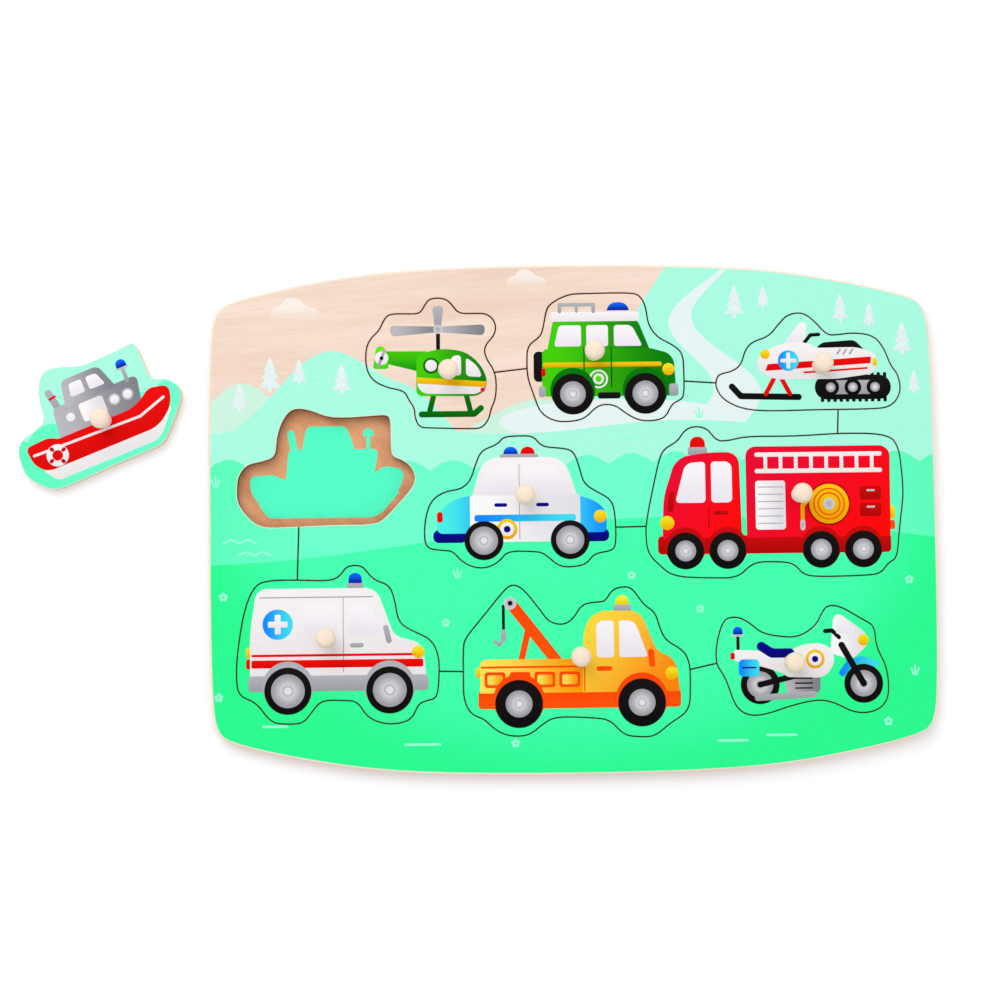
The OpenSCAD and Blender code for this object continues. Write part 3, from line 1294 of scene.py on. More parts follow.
@dataclass
class Boat(Picture):
    """A rescue launch with a two-storey cabin."""

    name: str = "boat"
    deck: float = 17.4
    porthole: float = 2.5

    def outline(self, sheet: InkPrint) -> None:
        """Draws keel, hull, cabin, wheelhouse, funnel and mast.

        Args:
            sheet: The print to add them to.
        """
        sheet.panel(WHITE, (-130.5, 8.0, 2), (-126.0, 1.4, 2), (-80.5, 1.4, 4), (-71.4, 12.2, 1))
        sheet.stroke(GREY, 3.0, (-114.6, 27.0), (-116.4, 36.4))
        sheet.panel(
            GREY_ACROSS, (-118.6, self.deck), (-117.4, 29.8, 2), (-80.0, 29.8, 2.5), (-82.5, self.deck)
        )
        sheet.panel(GREY_ACROSS, (-112.0, 28.5), (-110.0, 39.4, 2.2), (-93.5, 39.4, 2.2), (-89.5, 28.5))
        sheet.stroke(GREY, 1.6, (-84.4, 29.0), (-84.4, 34.2))
        sheet.dome(BLUE, -84.4, 35.0, 2.2, 3.4)
        sheet.panel(
            RED,
            (-133.6, 18.8, 2.2),
            (-132.6, 9.5, 5),
            (-127.5, 6.4, 2),
            (-79.5, 6.4, 4),
            (-71.0, 13.0, 4),
            (-69.4, 21.0, 2.6),
            (-77.5, 22.8, 2),
            (-86.0, self.deck, 4),
            (-119.5, self.deck, 1),
            (-123.5, 19.4, 1.5),
        )

    def details(self, sheet: InkPrint) -> None:
        """Draws the windows, the rubbing strake and the life ring.

        Args:
            sheet: The print to add them to.
        """
        low, high = 31.4, 37.0
        sheet.panel(GLASS, (-108.4, low, 1), (-107.4, high, 1.2), (-102.0, high, 1), (-102.0, low, 1))
        sheet.panel(GLASS, (-100.0, low, 1), (-100.0, high, 1), (-95.4, high, 1.4), (-93.2, low, 1))
        for across in (-111.6, -92.2, -86.4):
            sheet.disc(CAP, across, 23.8, self.porthole)
            sheet.disc(GLASS, across, 23.8, self.porthole - 0.7)
        sheet.block(WHITE_ACROSS, -107.0, 19.6, -96.4, 27.6, 1.2)
        sheet.stroke(STEEL, 0.9, (-86.6, 34.6), (-82.2, 34.6))
        sheet.stroke(WHITE, 1.1, (-131.4, 14.6), (-85.0, 13.2), (-73.2, 17.0))
        middle = Vector((-122.4, 11.2))
        sheet.ring(WHITE, *middle, 4.6, 2.4)
        for band in range(4):
            way = spoke(band * math.tau / 4 + 0.4)
            sheet.stroke(DEEP_RED, 1.5, middle + way * 3.1, middle + way * 3.7)
        sheet.stroke(RED, 1.0, (-116.9, 33.9), (-114.5, 34.3))


@dataclass
class Helicopter(Picture):
    """A patrol helicopter with a three-bladed rotor and upturned skids."""

    name: str = "helicopter"
    mast: float = -55.0

    def outline(self, sheet: InkPrint) -> None:
        """Draws rotor, boom, fin, cabin and skids.

        Args:
            sheet: The print to add them to.
        """
        mast = self.mast
        sheet.panel(GREY, (mast - 1.2, 79), (-57.4, 88.4, 1.8), (-52.6, 88.4, 1.8), (mast + 1.2, 79))
        low, high = 77.6, 79.8
        sheet.panel(
            GREY_ACROSS, (mast + 1, low), (-74.4, 75.8, 1.8), (-75.0, 80.4, 1.8), (mast + 1, high)
        )
        sheet.panel(
            GREY_ACROSS, (mast - 1, high), (-35.6, 80.6, 1.8), (-35.8, 76.0, 1.8), (mast - 1, low)
        )
        sheet.stroke(BLACK, 1.6, (mast, 70.0), (mast, 77.6))
        sheet.panel(GREEN, (-60, 69.6), (-79.6, 69.8, 1.5), (-80.4, 65.6, 1.5), (-60, 60.4))
        sheet.panel(LIME, (-82.0, 62.4, 1.2), (-80.6, 71.8, 1.4), (-77.2, 71.8, 1.2), (-75.2, 62.4, 1.6))
        for hip, toe in ((-56.6, -58.6), (-44.0, -42.0)):
            sheet.stroke(DEEP_GREEN, 2.2, (hip, 53), (toe, 45))
        sheet.stroke(DEEP_GREEN, 2.5, (-62.0, 43.4), (-40.4, 43.4), (-37.6, 45.8))
        sheet.panel(
            GREEN_ACROSS,
            (-64.2, 51.0, 5),
            (-64.0, 68.4, 5),
            (-50.0, 71.4, 8),
            (-38.4, 66.6, 8),
            (-34.6, 57.0, 5),
            (-36.8, 50.8, 4),
        )

    def details(self, sheet: InkPrint) -> None:
        """Draws the windows, the belly and the marks.

        Args:
            sheet: The print to add them to.
        """
        sheet.disc(STEEL, self.mast, 78.7, 1.9)
        sheet.panel(WHITE, (-63.2, 52.0, 4), (-63.9, 58.0), (-35.4, 56.0, 1), (-37.2, 51.6, 3.5))
        sheet.panel(GOLD, (-63.8, 56.2), (-63.9, 58.8), (-35.2, 56.8), (-35.6, 54.4))
        sheet.panel(
            GLASS, (-50.0, 59.6, 1.5), (-50.0, 67.6, 2.5), (-45.6, 67.9, 1.5), (-45.6, 59.3, 1.5)
        )
        sheet.panel(
            GLASS, (-43.6, 59.1, 1.5), (-43.6, 67.0, 1.5), (-38.4, 63.0, 2.5), (-37.0, 58.6, 1.5)
        )
        sheet.disc(DEEP_GREEN, -58.0, 63.6, 3.3)
        sheet.disc(GLASS, -58.0, 63.6, 2.4)
        middle = Vector((-78.4, 66.9))
        tip = spoke(1.2) * 3.5
        sheet.disc(WHITE, *middle, 2.8)
        sheet.stroke(GREY, 1.2, middle - tip, middle + tip)
        sheet.disc(BLACK, *middle, 0.8)
        sheet.disc(RED, -36.8, 53.4, 0.9)


@dataclass
class OffRoadCar(Wheeled):
    """A ranger's car with a roof rack and a spare wheel."""

    name: str = "off_road_car"
    axle: float = 51.2
    wheels: tuple[float, ...] = (0.5, 30.5)
    tyre: float = 8.5

    def outline(self, sheet: InkPrint) -> None:
        """Draws body, roof, rack, lamp and wheels.

        Args:
            sheet: The print to add them to.
        """
        sheet.block(BLACK, -15.6, 56.4, -11.0, 69.0, 2.0)
        sheet.panel(GREEN_ACROSS, (-10.6, 66.0), (-7.2, 82.6, 2.0), (27.4, 82.6, 3.0), (34.0, 66.0))
        sheet.block(WHITE, -8.8, 81.4, 28.4, 85.4, 1.6)
        sheet.stroke(GREY, 1.5, (-4.6, 85.6), (-4.6, 88.4), (9.4, 88.4), (9.4, 85.6))
        sheet.stroke(GREY, 1.1, (2.4, 85.6), (2.4, 88.0))
        sheet.dome(BLUE, 19.6, 85.9, 4.6, 3.4)
        sheet.panel(
            GREEN_ACROSS,
            (-12.2, 50.2, 2.0),
            (-12.0, 70.0, 2.0),
            (33.0, 70.0, 1.0),
            (42.4, 67.4, 4.0),
            (43.4, 50.2, 2.0),
        )
        self.stand(sheet)

    def details(self, sheet: InkPrint) -> None:
        """Draws windows, wings, stripe, bumpers and lamps.

        Args:
            sheet: The print to add them to.
        """
        low, high = 71.0, 79.8
        sheet.panel(GLASS, (-7.0, low, 1.2), (-5.0, high, 1.4), (4.2, high, 1.0), (4.2, low, 1.0))
        sheet.panel(GLASS, (6.4, low, 1.0), (6.4, high, 1.0), (15.4, high, 1.0), (15.4, low, 1.0))
        sheet.panel(GLASS, (17.8, low, 1.0), (17.8, high, 1.2), (25.2, high, 2.0), (29.6, low, 1.2))
        sheet.stroke(GOLD, 1.9, (-10.8, 63.4), (36.6, 63.4))
        sheet.stroke(DEEP_GREEN, 0.6, (5.3, 70.4), (5.3, 53.4))
        sheet.stroke(DEEP_GREEN, 0.6, (16.6, 70.4), (16.6, 54.0))
        sheet.stroke(LIME, 1.6, (8.0, 66.8), (11.6, 66.8))
        sheet.disc(WHITE, 11.2, 57.4, 3.9)
        sheet.ring(GREEN, 11.2, 57.4, 3.1, 0.8)
        sheet.disc(LIME, 11.2, 57.4, 1.3)
        self.arch(sheet, DEEP_GREEN)
        sheet.block(BLACK, 10.8, 49.2, 20.2, 51.8, 1.0)
        sheet.block(GREY, 40.4, 50.0, 44.2, 55.2, 1.2)
        sheet.block(GREY, -13.6, 50.0, -10.8, 54.6, 1.2)
        sheet.disc(LAMP, 40.2, 61.2, 2.5)
        sheet.block(RED, -12.4, 58.6, -10.6, 62.0, 0.8)


@dataclass
class Snowmobile(Picture):
    """A mountain rescue snowmobile."""

    name: str = "snowmobile"
    rollers: tuple[float, ...] = (107.4, 116.6, 125.8)

    def outline(self, sheet: InkPrint) -> None:
        """Draws ski, track, body, screen and seat.

        Args:
            sheet: The print to add them to.
        """
        sheet.stroke(BLACK, 2.6, (66.4, 53.6), (70.0, 49.6), (94.0, 49.0))
        sheet.stroke(RED, 1.9, (84.6, 58.0), (80.4, 50.4))
        sheet.stroke(RED, 1.9, (86.4, 58.0), (90.4, 50.4))
        for step in range(11):
            sheet.block(BLACK, 103.2 + step * 2.6, 46.8, 104.6 + step * 2.6, 59.0, 0.4)
        sheet.block(BLACK, 100.8, 47.8, 132.4, 58.0, 5.0)
        sheet.panel(GLASS, (87.0, 70.0), (95.4, 80.4, 1.0), (98.0, 79.6, 1.0), (96.8, 70.0))
        sheet.stroke(BLACK, 1.5, (96.8, 71.6), (99.4, 74.8), (102.8, 75.0))
        sheet.panel(BLACK, (101.0, 68.0), (103.6, 71.6, 2.0), (117.6, 72.6, 1.6), (122.2, 68.0))
        sheet.panel(
            WHITE,
            (76.4, 61.0, 3.0),
            (77.8, 67.4, 4.0),
            (88.0, 71.6, 3.0),
            (97.4, 71.8, 2.0),
            (101.6, 69.4, 1.5),
            (119.0, 69.6, 3.0),
            (127.0, 66.6, 2.5),
            (126.0, 58.6, 2.5),
            (110.0, 56.4, 3.0),
            (83.4, 56.4, 4.0),
        )

    def details(self, sheet: InkPrint) -> None:
        """Draws stripes, badge, vents, lamps and rollers.

        Args:
            sheet: The print to add them to.
        """
        sheet.panel(RED, (80.4, 60.0), (81.4, 62.8), (124.4, 65.6), (124.2, 62.8))
        sheet.stroke(RED, 0.8, (96.6, 59.2), (122.6, 60.8))
        sheet.disc(SKY_BLUE, 90.0, 64.2, 4.3)
        sheet.stroke(WHITE, 1.6, (87.4, 64.2), (92.6, 64.2))
        sheet.stroke(WHITE, 1.6, (90.0, 61.6), (90.0, 66.8))
        for step in range(3):
            sheet.stroke(GREY, 0.8, (110.4 + step * 2.6, 66.9), (111.6 + step * 2.6, 68.6))
        sheet.disc(LAMP, 80.4, 67.0, 2.0)
        sheet.block(LAMP, 125.0, 61.6, 126.8, 65.0, 0.8)
        sheet.block(GREY, 104.2, 50.0, 129.2, 55.8, 2.6)
        for across in self.rollers:
            sheet.disc(BLACK, across, 52.9, 3.5)
            sheet.disc(HUB, across, 52.9, 2.0)


@dataclass
class PoliceCar(Wheeled):
    """A patrol car with a light bar."""

    name: str = "police_car"
    axle: float = -9.0
    wheels: tuple[float, ...] = (-37.0, -1.5)
    hub: float = 5.8

    def outline(self, sheet: InkPrint) -> None:
        """Draws body, cabin, light bar, bumpers and wheels.

        Args:
            sheet: The print to add them to.
        """
        sheet.block(NAVY, -57.8, -9.8, -44.0, -4.4, 2.4)
        sheet.block(NAVY, 3.0, -9.8, 14.6, -4.4, 2.4)
        sheet.dome(BLUE, -25.6, 26.2, 3.0, 3.4)
        sheet.dome(RED, -18.6, 26.2, 3.0, 3.4)
        sheet.block(GREY, -30.0, 24.6, -14.2, 26.6, 0.8)
        sill = -6.0
        sheet.panel(
            SKY_BLUE_BACK,
            (-56.0, sill, 2),
            (-56.0, 3.6, 5.0),
            (-46.6, 9.4, 4.0),
            (-30, 9.4),
            (-30, sill),
        )
        sheet.panel(
            SKY_BLUE_BACK,
            (-10, sill),
            (-10, 9.8),
            (5.6, 8.8, 4.0),
            (13.6, 3.8, 4.0),
            (13.6, sill, 2),
        )
        sheet.panel(WHITE, (-42.6, 6.0), (-37.0, 25.2, 6.0), (-3.8, 25.2, 6.0), (2.8, 6.0))
        sheet.block(WHITE_ACROSS, -42.6, -9.6, 2.8, 9.6, 1.0)
        self.stand(sheet)

    def details(self, sheet: InkPrint) -> None:
        """Draws windows, doors, badge and lamps.

        Args:
            sheet: The print to add them to.
        """
        low, high = 10.6, 22.2
        sheet.panel(GLASS, (-38.6, low, 1.4), (-33.8, high, 3.0), (-23.4, high, 1.0), (-23.4, low, 1.0))
        sheet.panel(GLASS, (-21.0, low, 1.0), (-21.0, high, 1.0), (-7.2, high, 3.0), (-1.4, low, 1.4))
        sheet.stroke(GREY, 0.35, (-22.2, 22.4), (-22.2, -8.4))
        sheet.block(SKY_BLUE, -40.8, -1.2, 1.0, 1.6, 1.0)
        sheet.stroke(NAVY, 1.5, (-31.8, 5.6), (-28.0, 5.6))
        sheet.stroke(NAVY, 1.5, (-14.6, 5.6), (-10.8, 5.6))
        for ink, radius in ((GOLD, 4.2), (WHITE, 2.9), (NAVY, 1.4)):
            sheet.disc(ink, -27.4, -4.4, radius)
        sheet.disc(LAMP, 11.0, 0.6, 2.6)
        sheet.block(RED, -56.2, -1.4, -53.8, 3.0, 1.1)
        self.roll(sheet)


@dataclass
class FireEngine(Wheeled):
    """A fire engine with a ladder along its roof line, roller shutters and a hose reel."""

    name: str = "fire_engine"
    axle: float = -14.2
    wheels: tuple[float, ...] = (46.0, 63.4, 102.0, 119.4)
    tyre: float = 7.6
    hub: float = 4.3

    def outline(self, sheet: InkPrint) -> None:
        """Draws chassis, cab, box, beacon and wheels.

        Args:
            sheet: The print to add them to.
        """
        sheet.block(DEEP_RED, 34.6, -15.6, 131.0, -8.0, 1.8)
        sheet.dome(RED, 51.6, 28.4, 3.2, 4.6)
        sheet.block(GREY, 47.6, 25.4, 55.6, 28.6, 0.6)
        sheet.block(LAMP, 130.2, -1.8, 132.8, 3.6, 1.1)
        sheet.block(ORANGE, 130.2, -6.2, 132.8, -2.4, 1.0)
        sheet.panel(
            RED_ASLANT,
            (36.6, -9.0, 1.0),
            (37.2, 8.0, 4.0),
            (42.6, 24.4, 5.0),
            (56.0, 26.4, 4.0),
            (68.6, 26.4, 5.0),
            (69.4, -9.0, 0.5),
        )
        sheet.panel(
            RED_ASLANT, (71.4, -9.0, 0.5), (71.4, 28.6, 4.0), (131.2, 28.6, 4.5), (130.8, -9.0, 0.8)
        )
        self.stand(sheet)

    def details(self, sheet: InkPrint) -> None:
        """Draws windows, ladder, shutters, reel, lockers, lamps and wheels.

        Args:
            sheet: The print to add them to.
        """
        sheet.panel(GLASS, (42.0, 5.6, 2.0), (46.4, 22.0, 3.0), (54.6, 22.6, 1.5), (54.6, 5.6, 1.5))
        sheet.panel(GLASS, (57.0, 5.6, 1.5), (57.0, 22.6, 1.5), (65.6, 22.6, 3.0), (65.6, 5.6, 2.0))
        sheet.stroke(DEEP_RED, 1.6, (58.6, 1.4), (63.2, 1.4))
        sheet.stroke(DEEP_RED, 2.4, (40.0, 3.2), (40.6, 9.2))
        sheet.stroke(DEEP_RED, 0.5, (55.8, 3.8), (55.8, -5.0))
        for up in (25.2, 18.4):
            sheet.stroke(WHITE, 1.8, (76.0, up), (127.0, up))
        for step in range(8):
            sheet.stroke(WHITE, 1.5, (79.6 + step * 6.3, 19.0), (79.6 + step * 6.3, 24.6))
        sheet.block(WHITE_ACROSS, 75.2, -5.8, 87.6, 14.4, 1.2)
        for step in range(6):
            sheet.stroke(GREY, 0.4, (76.4, -3.2 + step * 3.0), (86.4, -3.2 + step * 3.0))
        sheet.disc(DEEP_RED, 105.6, 4.6, 9.0)
        sheet.disc(GOLD, 105.6, 4.6, 8.2)
        for radius in (6.6, 4.8):
            sheet.ring(ORANGE, 105.6, 4.6, radius, 0.6)
        sheet.disc(STEEL, 105.6, 4.6, 2.4)
        sheet.stroke(GOLD, 1.6, (98.4, 7.6), (94.6, 4.0), (94.6, -1.6))
        sheet.stroke(STEEL, 2.0, (94.6, -2.8), (94.6, -5.2))
        for up in (2.4, 9.2):
            sheet.block(DEEP_RED, 118.4, up - 3.0, 127.2, up + 2.4, 1.0)
            sheet.stroke(STEEL, 0.8, (121.6, up + 0.8), (124.2, up + 0.8))
        sheet.disc(LAMP, 38.6, -2.6, 2.9)
        self.arch(sheet, DEEP_RED, rise=1.4, rim=0.7)


@dataclass
class Ambulance(Wheeled):
    """An ambulance with two stripes and a plain round badge."""

    name: str = "ambulance"
    axle: float = -69.6
    wheels: tuple[float, ...] = (-117.8, -76.2)
    tyre: float = 9.6
    hub: float = 6.9

    def outline(self, sheet: InkPrint) -> None:
        """Draws body, sill, beacon and wheels.

        Args:
            sheet: The print to add them to.
        """
        sheet.dome(BLUE, -90.0, -26.0, 2.8, 4.4)
        sheet.block(GREY, -93.4, -28.6, -86.6, -25.8, 0.6)
        sheet.block(LAMP, -134.8, -56.0, -132.4, -51.6, 1.0)
        sheet.block(RED, -134.8, -60.6, -132.4, -56.4, 1.0)
        sheet.panel(
            WHITE,
            (-133.2, -64.0, 0.5),
            (-133.2, -46.0, 5.0),
            (-130.4, -27.8, 4.0),
            (-81.4, -27.8, 4.5),
            (-74.2, -47.6, 3.0),
            (-62.6, -50.6, 4.0),
            (-61.2, -64.0, 0.5),
        )
        sheet.block(GREY, -134.0, -69.8, -60.4, -63.4, 1.4)
        self.stand(sheet)

    def details(self, sheet: InkPrint) -> None:
        """Draws windows, stripes, badge, handle, mirror and lamps.

        Args:
            sheet: The print to add them to.
        """
        sheet.block(GLASS, -111.0, -47.2, -97.4, -34.6, 2.0)
        sheet.panel(
            GLASS, (-92.6, -47.2, 1.5), (-92.6, -34.6, 2.0), (-83.6, -34.6, 2.5), (-78.6, -47.2, 1.5)
        )
        sheet.stroke(GREY, 0.35, (-95.0, -31.4), (-95.0, -62.0))
        sheet.stroke(GREY, 0.5, (-129.0, -31.4), (-83.0, -31.4))
        sheet.block(RED, -132.6, -60.2, -62.4, -57.0, 0.6)
        sheet.block(RED, -132.6, -55.6, -66.4, -54.6, 0.4)
        sheet.disc(SKY_BLUE, -121.8, -42.4, 6.2)
        sheet.block(WHITE, -123.0, -46.4, -120.6, -38.4, 0.4)
        sheet.block(WHITE, -125.8, -43.6, -117.8, -41.2, 0.4)
        sheet.stroke(GREY, 1.8, (-91.4, -51.2), (-87.6, -51.2))
        sheet.stroke(GREY, 2.3, (-76.4, -49.4), (-77.6, -44.2))
        sheet.disc(LAMP, -64.4, -54.2, 2.6)
        self.arch(sheet, GREY)


@dataclass
class TowTruck(Wheeled):
    """A breakdown truck with a braced boom and a hanging hook."""

    name: str = "tow_truck"
    axle: float = -76.0
    wheels: tuple[float, ...] = (-23.4, 27.0)
    tyre: float = 9.8
    hub: float = 5.5

    def outline(self, sheet: InkPrint) -> None:
        """Draws chassis, boom, bed, cab, beacon and wheels.

        Args:
            sheet: The print to add them to.
        """
        sheet.stroke(BLACK, 1.2, (-29.4, -36.0), (-29.4, -46.4))
        sheet.stroke(GREY, 2.2, (-29.4, -46.6), (-29.4, -49.4))
        sheet.stroke(GREY, 1.3, (-29.4, -49.8), (-31.2, -51.8), (-33.0, -50.4))
        sheet.stroke(ORANGE, 2.6, (-22.4, -59.0), (-18.8, -43.6))
        sheet.stroke(ORANGE, 4.6, (-8.0, -58.4), (-26.4, -34.8))
        sheet.dome(AMBER, 19.4, -36.2, 2.8, 4.2)
        sheet.block(GREY, 15.8, -38.8, 23.0, -36.0, 0.6)
        sheet.block(LAMP, -41.0, -65.2, -38.4, -61.0, 1.0)
        sheet.block(ORANGE, -40.0, -78.0, 43.0, -70.6, 1.6)
        sheet.panel(YELLOW_BODY, (-39.2, -71.6), (-39.2, -57.8, 2.5), (4.0, -57.8, 1.0), (4.0, -71.6))
        sheet.panel(
            YELLOW_CAB,
            (2.8, -71.6),
            (3.4, -45.0, 5.0),
            (8.4, -38.4, 4.0),
            (26.6, -38.4, 5.0),
            (33.4, -55.2, 3.0),
            (41.2, -58.2, 4.5),
            (42.6, -71.6),
        )
        self.stand(sheet)

    def details(self, sheet: InkPrint) -> None:
        """Draws windows, lockers, pulley, handle, mirror and lamps.

        Args:
            sheet: The print to add them to.
        """
        sheet.disc(STEEL, -26.6, -34.8, 2.6)
        sheet.disc(BLACK, -26.6, -34.8, 1.0)
        low, high = -57.4, -42.4
        sheet.panel(GLASS, (8.6, low, 1.5), (8.6, high, 3.0), (15.8, high, 1.0), (15.8, low, 1.0))
        sheet.panel(GLASS, (18.0, low, 1.0), (18.0, high, 1.0), (24.4, high, 3.0), (29.8, low, 1.5))
        sheet.stroke(ORANGE, 0.8, (-38.6, -61.0), (3.4, -61.0))
        for step in range(4):
            left = -37.4 + step * 10.2
            sheet.block(ORANGE, left, -69.4, left + 8.6, -63.0, 1.2)
            sheet.block(YELLOW_BODY, left + 1.2, -68.2, left + 7.4, -64.2, 0.8)
        sheet.stroke(ORANGE, 0.5, (3.6, -61.6), (3.6, -71.0))
        sheet.stroke(ORANGE, 1.9, (9.4, -62.0), (14.0, -62.0))
        sheet.stroke(ORANGE, 2.5, (31.0, -55.4), (31.4, -60.4))
        sheet.disc(LAMP, 39.4, -64.2, 2.7)
        self.arch(sheet, ORANGE)


@dataclass
class Motorcycle(Wheeled):
    """A patrol motorcycle with a pannier and a tall screen."""

    name: str = "motorcycle"
    axle: float = -69.4
    wheels: tuple[float, ...] = (75.6, 118.2)
    hub: float = 5.4

    def outline(self, sheet: InkPrint) -> None:
        """Draws wheels, engine, body, seat, fairing, fork and mudguards.

        Args:
            sheet: The print to add them to.
        """
        self.roll(sheet)
        sheet.stroke(BLACK, 1.3, (66.8, -57.0), (66.8, -49.8))
        sheet.dome(BLUE, 66.8, -48.8, 2.0, 3.2)
        sheet.block(GREY_ACROSS, 86.0, -73.2, 100.4, -62.0, 2.4)
        sheet.stroke(GREY, 2.6, (97.6, -73.6), (74.6, -74.8))
        sheet.stroke(BLACK, 2.4, (75.6, -69.4), (90.0, -66.0))
        sheet.panel(
            WHITE,
            (64.6, -59.4, 1.5),
            (64.8, -55.0, 1.5),
            (77.0, -55.6, 1.0),
            (86.4, -58.4, 1.0),
            (88.0, -66.0, 2.0),
            (78.0, -62.4, 3.0),
        )
        sheet.panel(
            WHITE,
            (85.4, -66.4, 2.5),
            (85.2, -58.0, 2.5),
            (92.0, -53.2, 4.0),
            (103.2, -52.6, 4.0),
            (107.4, -59.0, 4.0),
            (102.6, -67.0, 4.0),
        )
        sheet.stroke(NAVY, 3.8, (76.4, -53.8), (80.6, -56.6), (88.0, -56.6))
        sheet.panel(
            WHITE_ACROSS,
            (104.6, -56.8, 2.0),
            (106.4, -41.0, 2.0),
            (109.4, -41.2, 1.0),
            (119.8, -48.8, 2.5),
            (120.4, -53.6, 2.5),
            (113.4, -59.8, 2.5),
        )
        sheet.stroke(SKY_BLUE, 2.7, (109.6, -65.0), (112.6, -60.9), (117.8, -59.6), (123.4, -61.4))
        sheet.stroke(BLACK, 2.6, (109.4, -53.6), (118.2, -69.4))
        sheet.stroke(BLACK, 1.7, (108.4, -50.4), (105.6, -47.6), (102.8, -47.8))

    def details(self, sheet: InkPrint) -> None:
        """Draws pannier, screen, badge, engine fins and lamps.

        Args:
            sheet: The print to add them to.
        """
        sheet.block(SKY_BLUE, 67.0, -66.0, 75.4, -59.0, 1.8)
        sheet.stroke(NAVY, 0.7, (68.6, -62.4), (73.8, -62.4))
        sheet.panel(
            GLASS, (107.2, -49.0, 1.0), (107.6, -42.8, 1.0), (109.2, -42.8, 0.8), (113.6, -49.0, 1.5)
        )
        for step in range(3):
            sheet.stroke(BLACK, 0.6, (90.2, -71.0 + step * 2.0), (97.0, -71.0 + step * 2.0))
        for ink, radius in ((GOLD, 3.9), (WHITE, 2.7), (NAVY, 1.3)):
            sheet.disc(ink, 98.4, -59.2, radius)
        sheet.disc(LAMP, 118.4, -51.6, 2.3)
        sheet.block(RED, 63.6, -59.0, 65.4, -56.2, 0.8)
        sheet.stroke(STEEL, 0.9, (64.6, -49.2), (69.0, -49.2))


@dataclass
class Scenery:
    """What is printed on the board between the vehicles: firs, grass, ripples, daisies and dashes."""

    firs: tuple[Point, ...] = (  # middle, foot and height
        (-137.0, 45.0, 12.0),
        (-124.5, 53.0, 15.0),
        (-112.5, 56.0, 11.0),
        (-95.0, 52.0, 13.0),
        (68.0, 82.0, 14.0),
        (80.0, 86.0, 10.0),
        (112.0, 80.0, 12.0),
        (124.0, 78.0, 10.0),
        (137.5, 66.0, 14.0),
        (142.0, 50.0, 10.0),
    )
    trunk: Point = (0.05, 0.2)  # half width and top, in heights of the fir
    tiers: tuple[Point, ...] = (  # foot, top and half width, in heights of the fir
        (0.14, 0.56, 0.3),
        (0.38, 0.78, 0.24),
        (0.6, 1.0, 0.17),
    )
    tufts: tuple[Point, ...] = ((52.5, 41.0), (-147.0, 14.5), (-48.0, -24.0), (139.5, -66.0))
    blades: tuple[Point, ...] = ((-1.6, 2.6), (0.0, 3.8), (1.6, 2.6))  # lean and height
    daisies: tuple[Point, ...] = (
        (-144.0, -31.0),
        (-146.0, -72.0),
        (-53.0, -42.5),
        (23.5, -24.0),
        (51.5, -38.0),
        (138.0, -27.0),
        (-25.0, -92.0),
        (128.0, -85.0),
    )
    petals: int = 5
    petal: Point = (0.72, 1.15)  # its radius, and how far it is from the daisy's middle
    ripples: tuple[Point, ...] = ((-144.0, -9.0), (-138.0, -14.0))
    zigzag: Point = (3.4, 1.5)  # how far a ripple goes along and up at each turn
    dashes: tuple[Point, ...] = (  # left end, height up the picture and length
        (-128.0, -84.0, 10.0),
        (-70.0, -92.0, 14.0),
        (58.0, -92.0, 12.0),
        (78.0, -90.0, 12.0),
        (20.0, 33.0, 6.0),
    )

    def fir(self, sheet: InkPrint, across: float, foot: float, high: float) -> None:
        """Prints a fir: a trunk under three tiers.

        Args:
            sheet: The print to add it to.
            across: Its middle.
            foot: The trunk's foot.
            high: Its whole height.
        """
        half, top = (share * high for share in self.trunk)
        sheet.block(MIST, across - half, foot, across + half, foot + top, 0.1)
        for low, top, half in self.tiers:
            sheet.panel(
                MIST,
                (across - half * high, foot + low * high, 0.2),
                (across, foot + top * high, 0.2),
                (across + half * high, foot + low * high, 0.2),
            )

    def tuft(self, sheet: InkPrint, across: float, foot: float) -> None:
        """Prints a tuft of grass."""
        for lean, high in self.blades:
            sheet.stroke(SPRAY, 0.7, (across + lean * 0.4, foot), (across + lean, foot + high))

    def daisy(self, sheet: InkPrint, across: float, up: float) -> None:
        """Prints a daisy of round petals.

        Args:
            sheet: The print to add it to.
            across: Its middle, along the board.
            up: Its middle, up the picture.
        """
        radius, out = self.petal
        for turn in range(self.petals):
            way = Matrix.Rotation(turn * math.tau / self.petals, 2) @ Vector((0.0, out))
            sheet.disc(SPRAY, across + way.x, up + way.y, radius)

    def ripple(self, sheet: InkPrint, across: float, up: float) -> None:
        """Prints a zigzag of water.

        Args:
            sheet: The print to add it to.
            across: Its left end, along the board.
            up: Its left end, up the picture.
        """
        path = [
            (across + self.zigzag[0] * step, up + self.zigzag[1] * (step % 2)) for step in range(5)
        ]
        sheet.stroke(SPRAY, 0.8, *path)

    def build(self) -> bpy.types.Object:
        """Prints it all on the board.

        Returns:
            The print.
        """
        sheet = InkPrint("printed_scenery", "board", "printed_board", SHEET_TOP)
        for draw, spots in (
            (self.fir, self.firs),
            (self.tuft, self.tufts),
            (self.ripple, self.ripples),
            (self.daisy, self.daisies),
        ):
            for spot in spots:
                draw(sheet, *spot)
        for across, up, long in self.dashes:
            sheet.stroke(SPRAY, 1.0, (across, up), (across + long, up))
        return sheet.build()


# Studio


@dataclass(frozen=True)
class SoftBox:
    """A square lamp that faces the puzzle's middle."""

    name: str
    spot: Point  # m
    side: float  # m
    power: float  # W

    def hang(self) -> None:
        """Hangs the lamp in its place."""
        data = bpy.data.lights.new(self.name, "AREA")
        data.shape, data.size, data.energy = "SQUARE", self.side, self.power
        lamp = bpy.data.objects.new(self.name, data)
        facing = (-Vector(self.spot)).to_track_quat("-Z", "Y").to_matrix().to_4x4()
        lamp.matrix_world = Matrix.Translation(self.spot) @ facing
        bpy.context.scene.collection.objects.link(lamp)


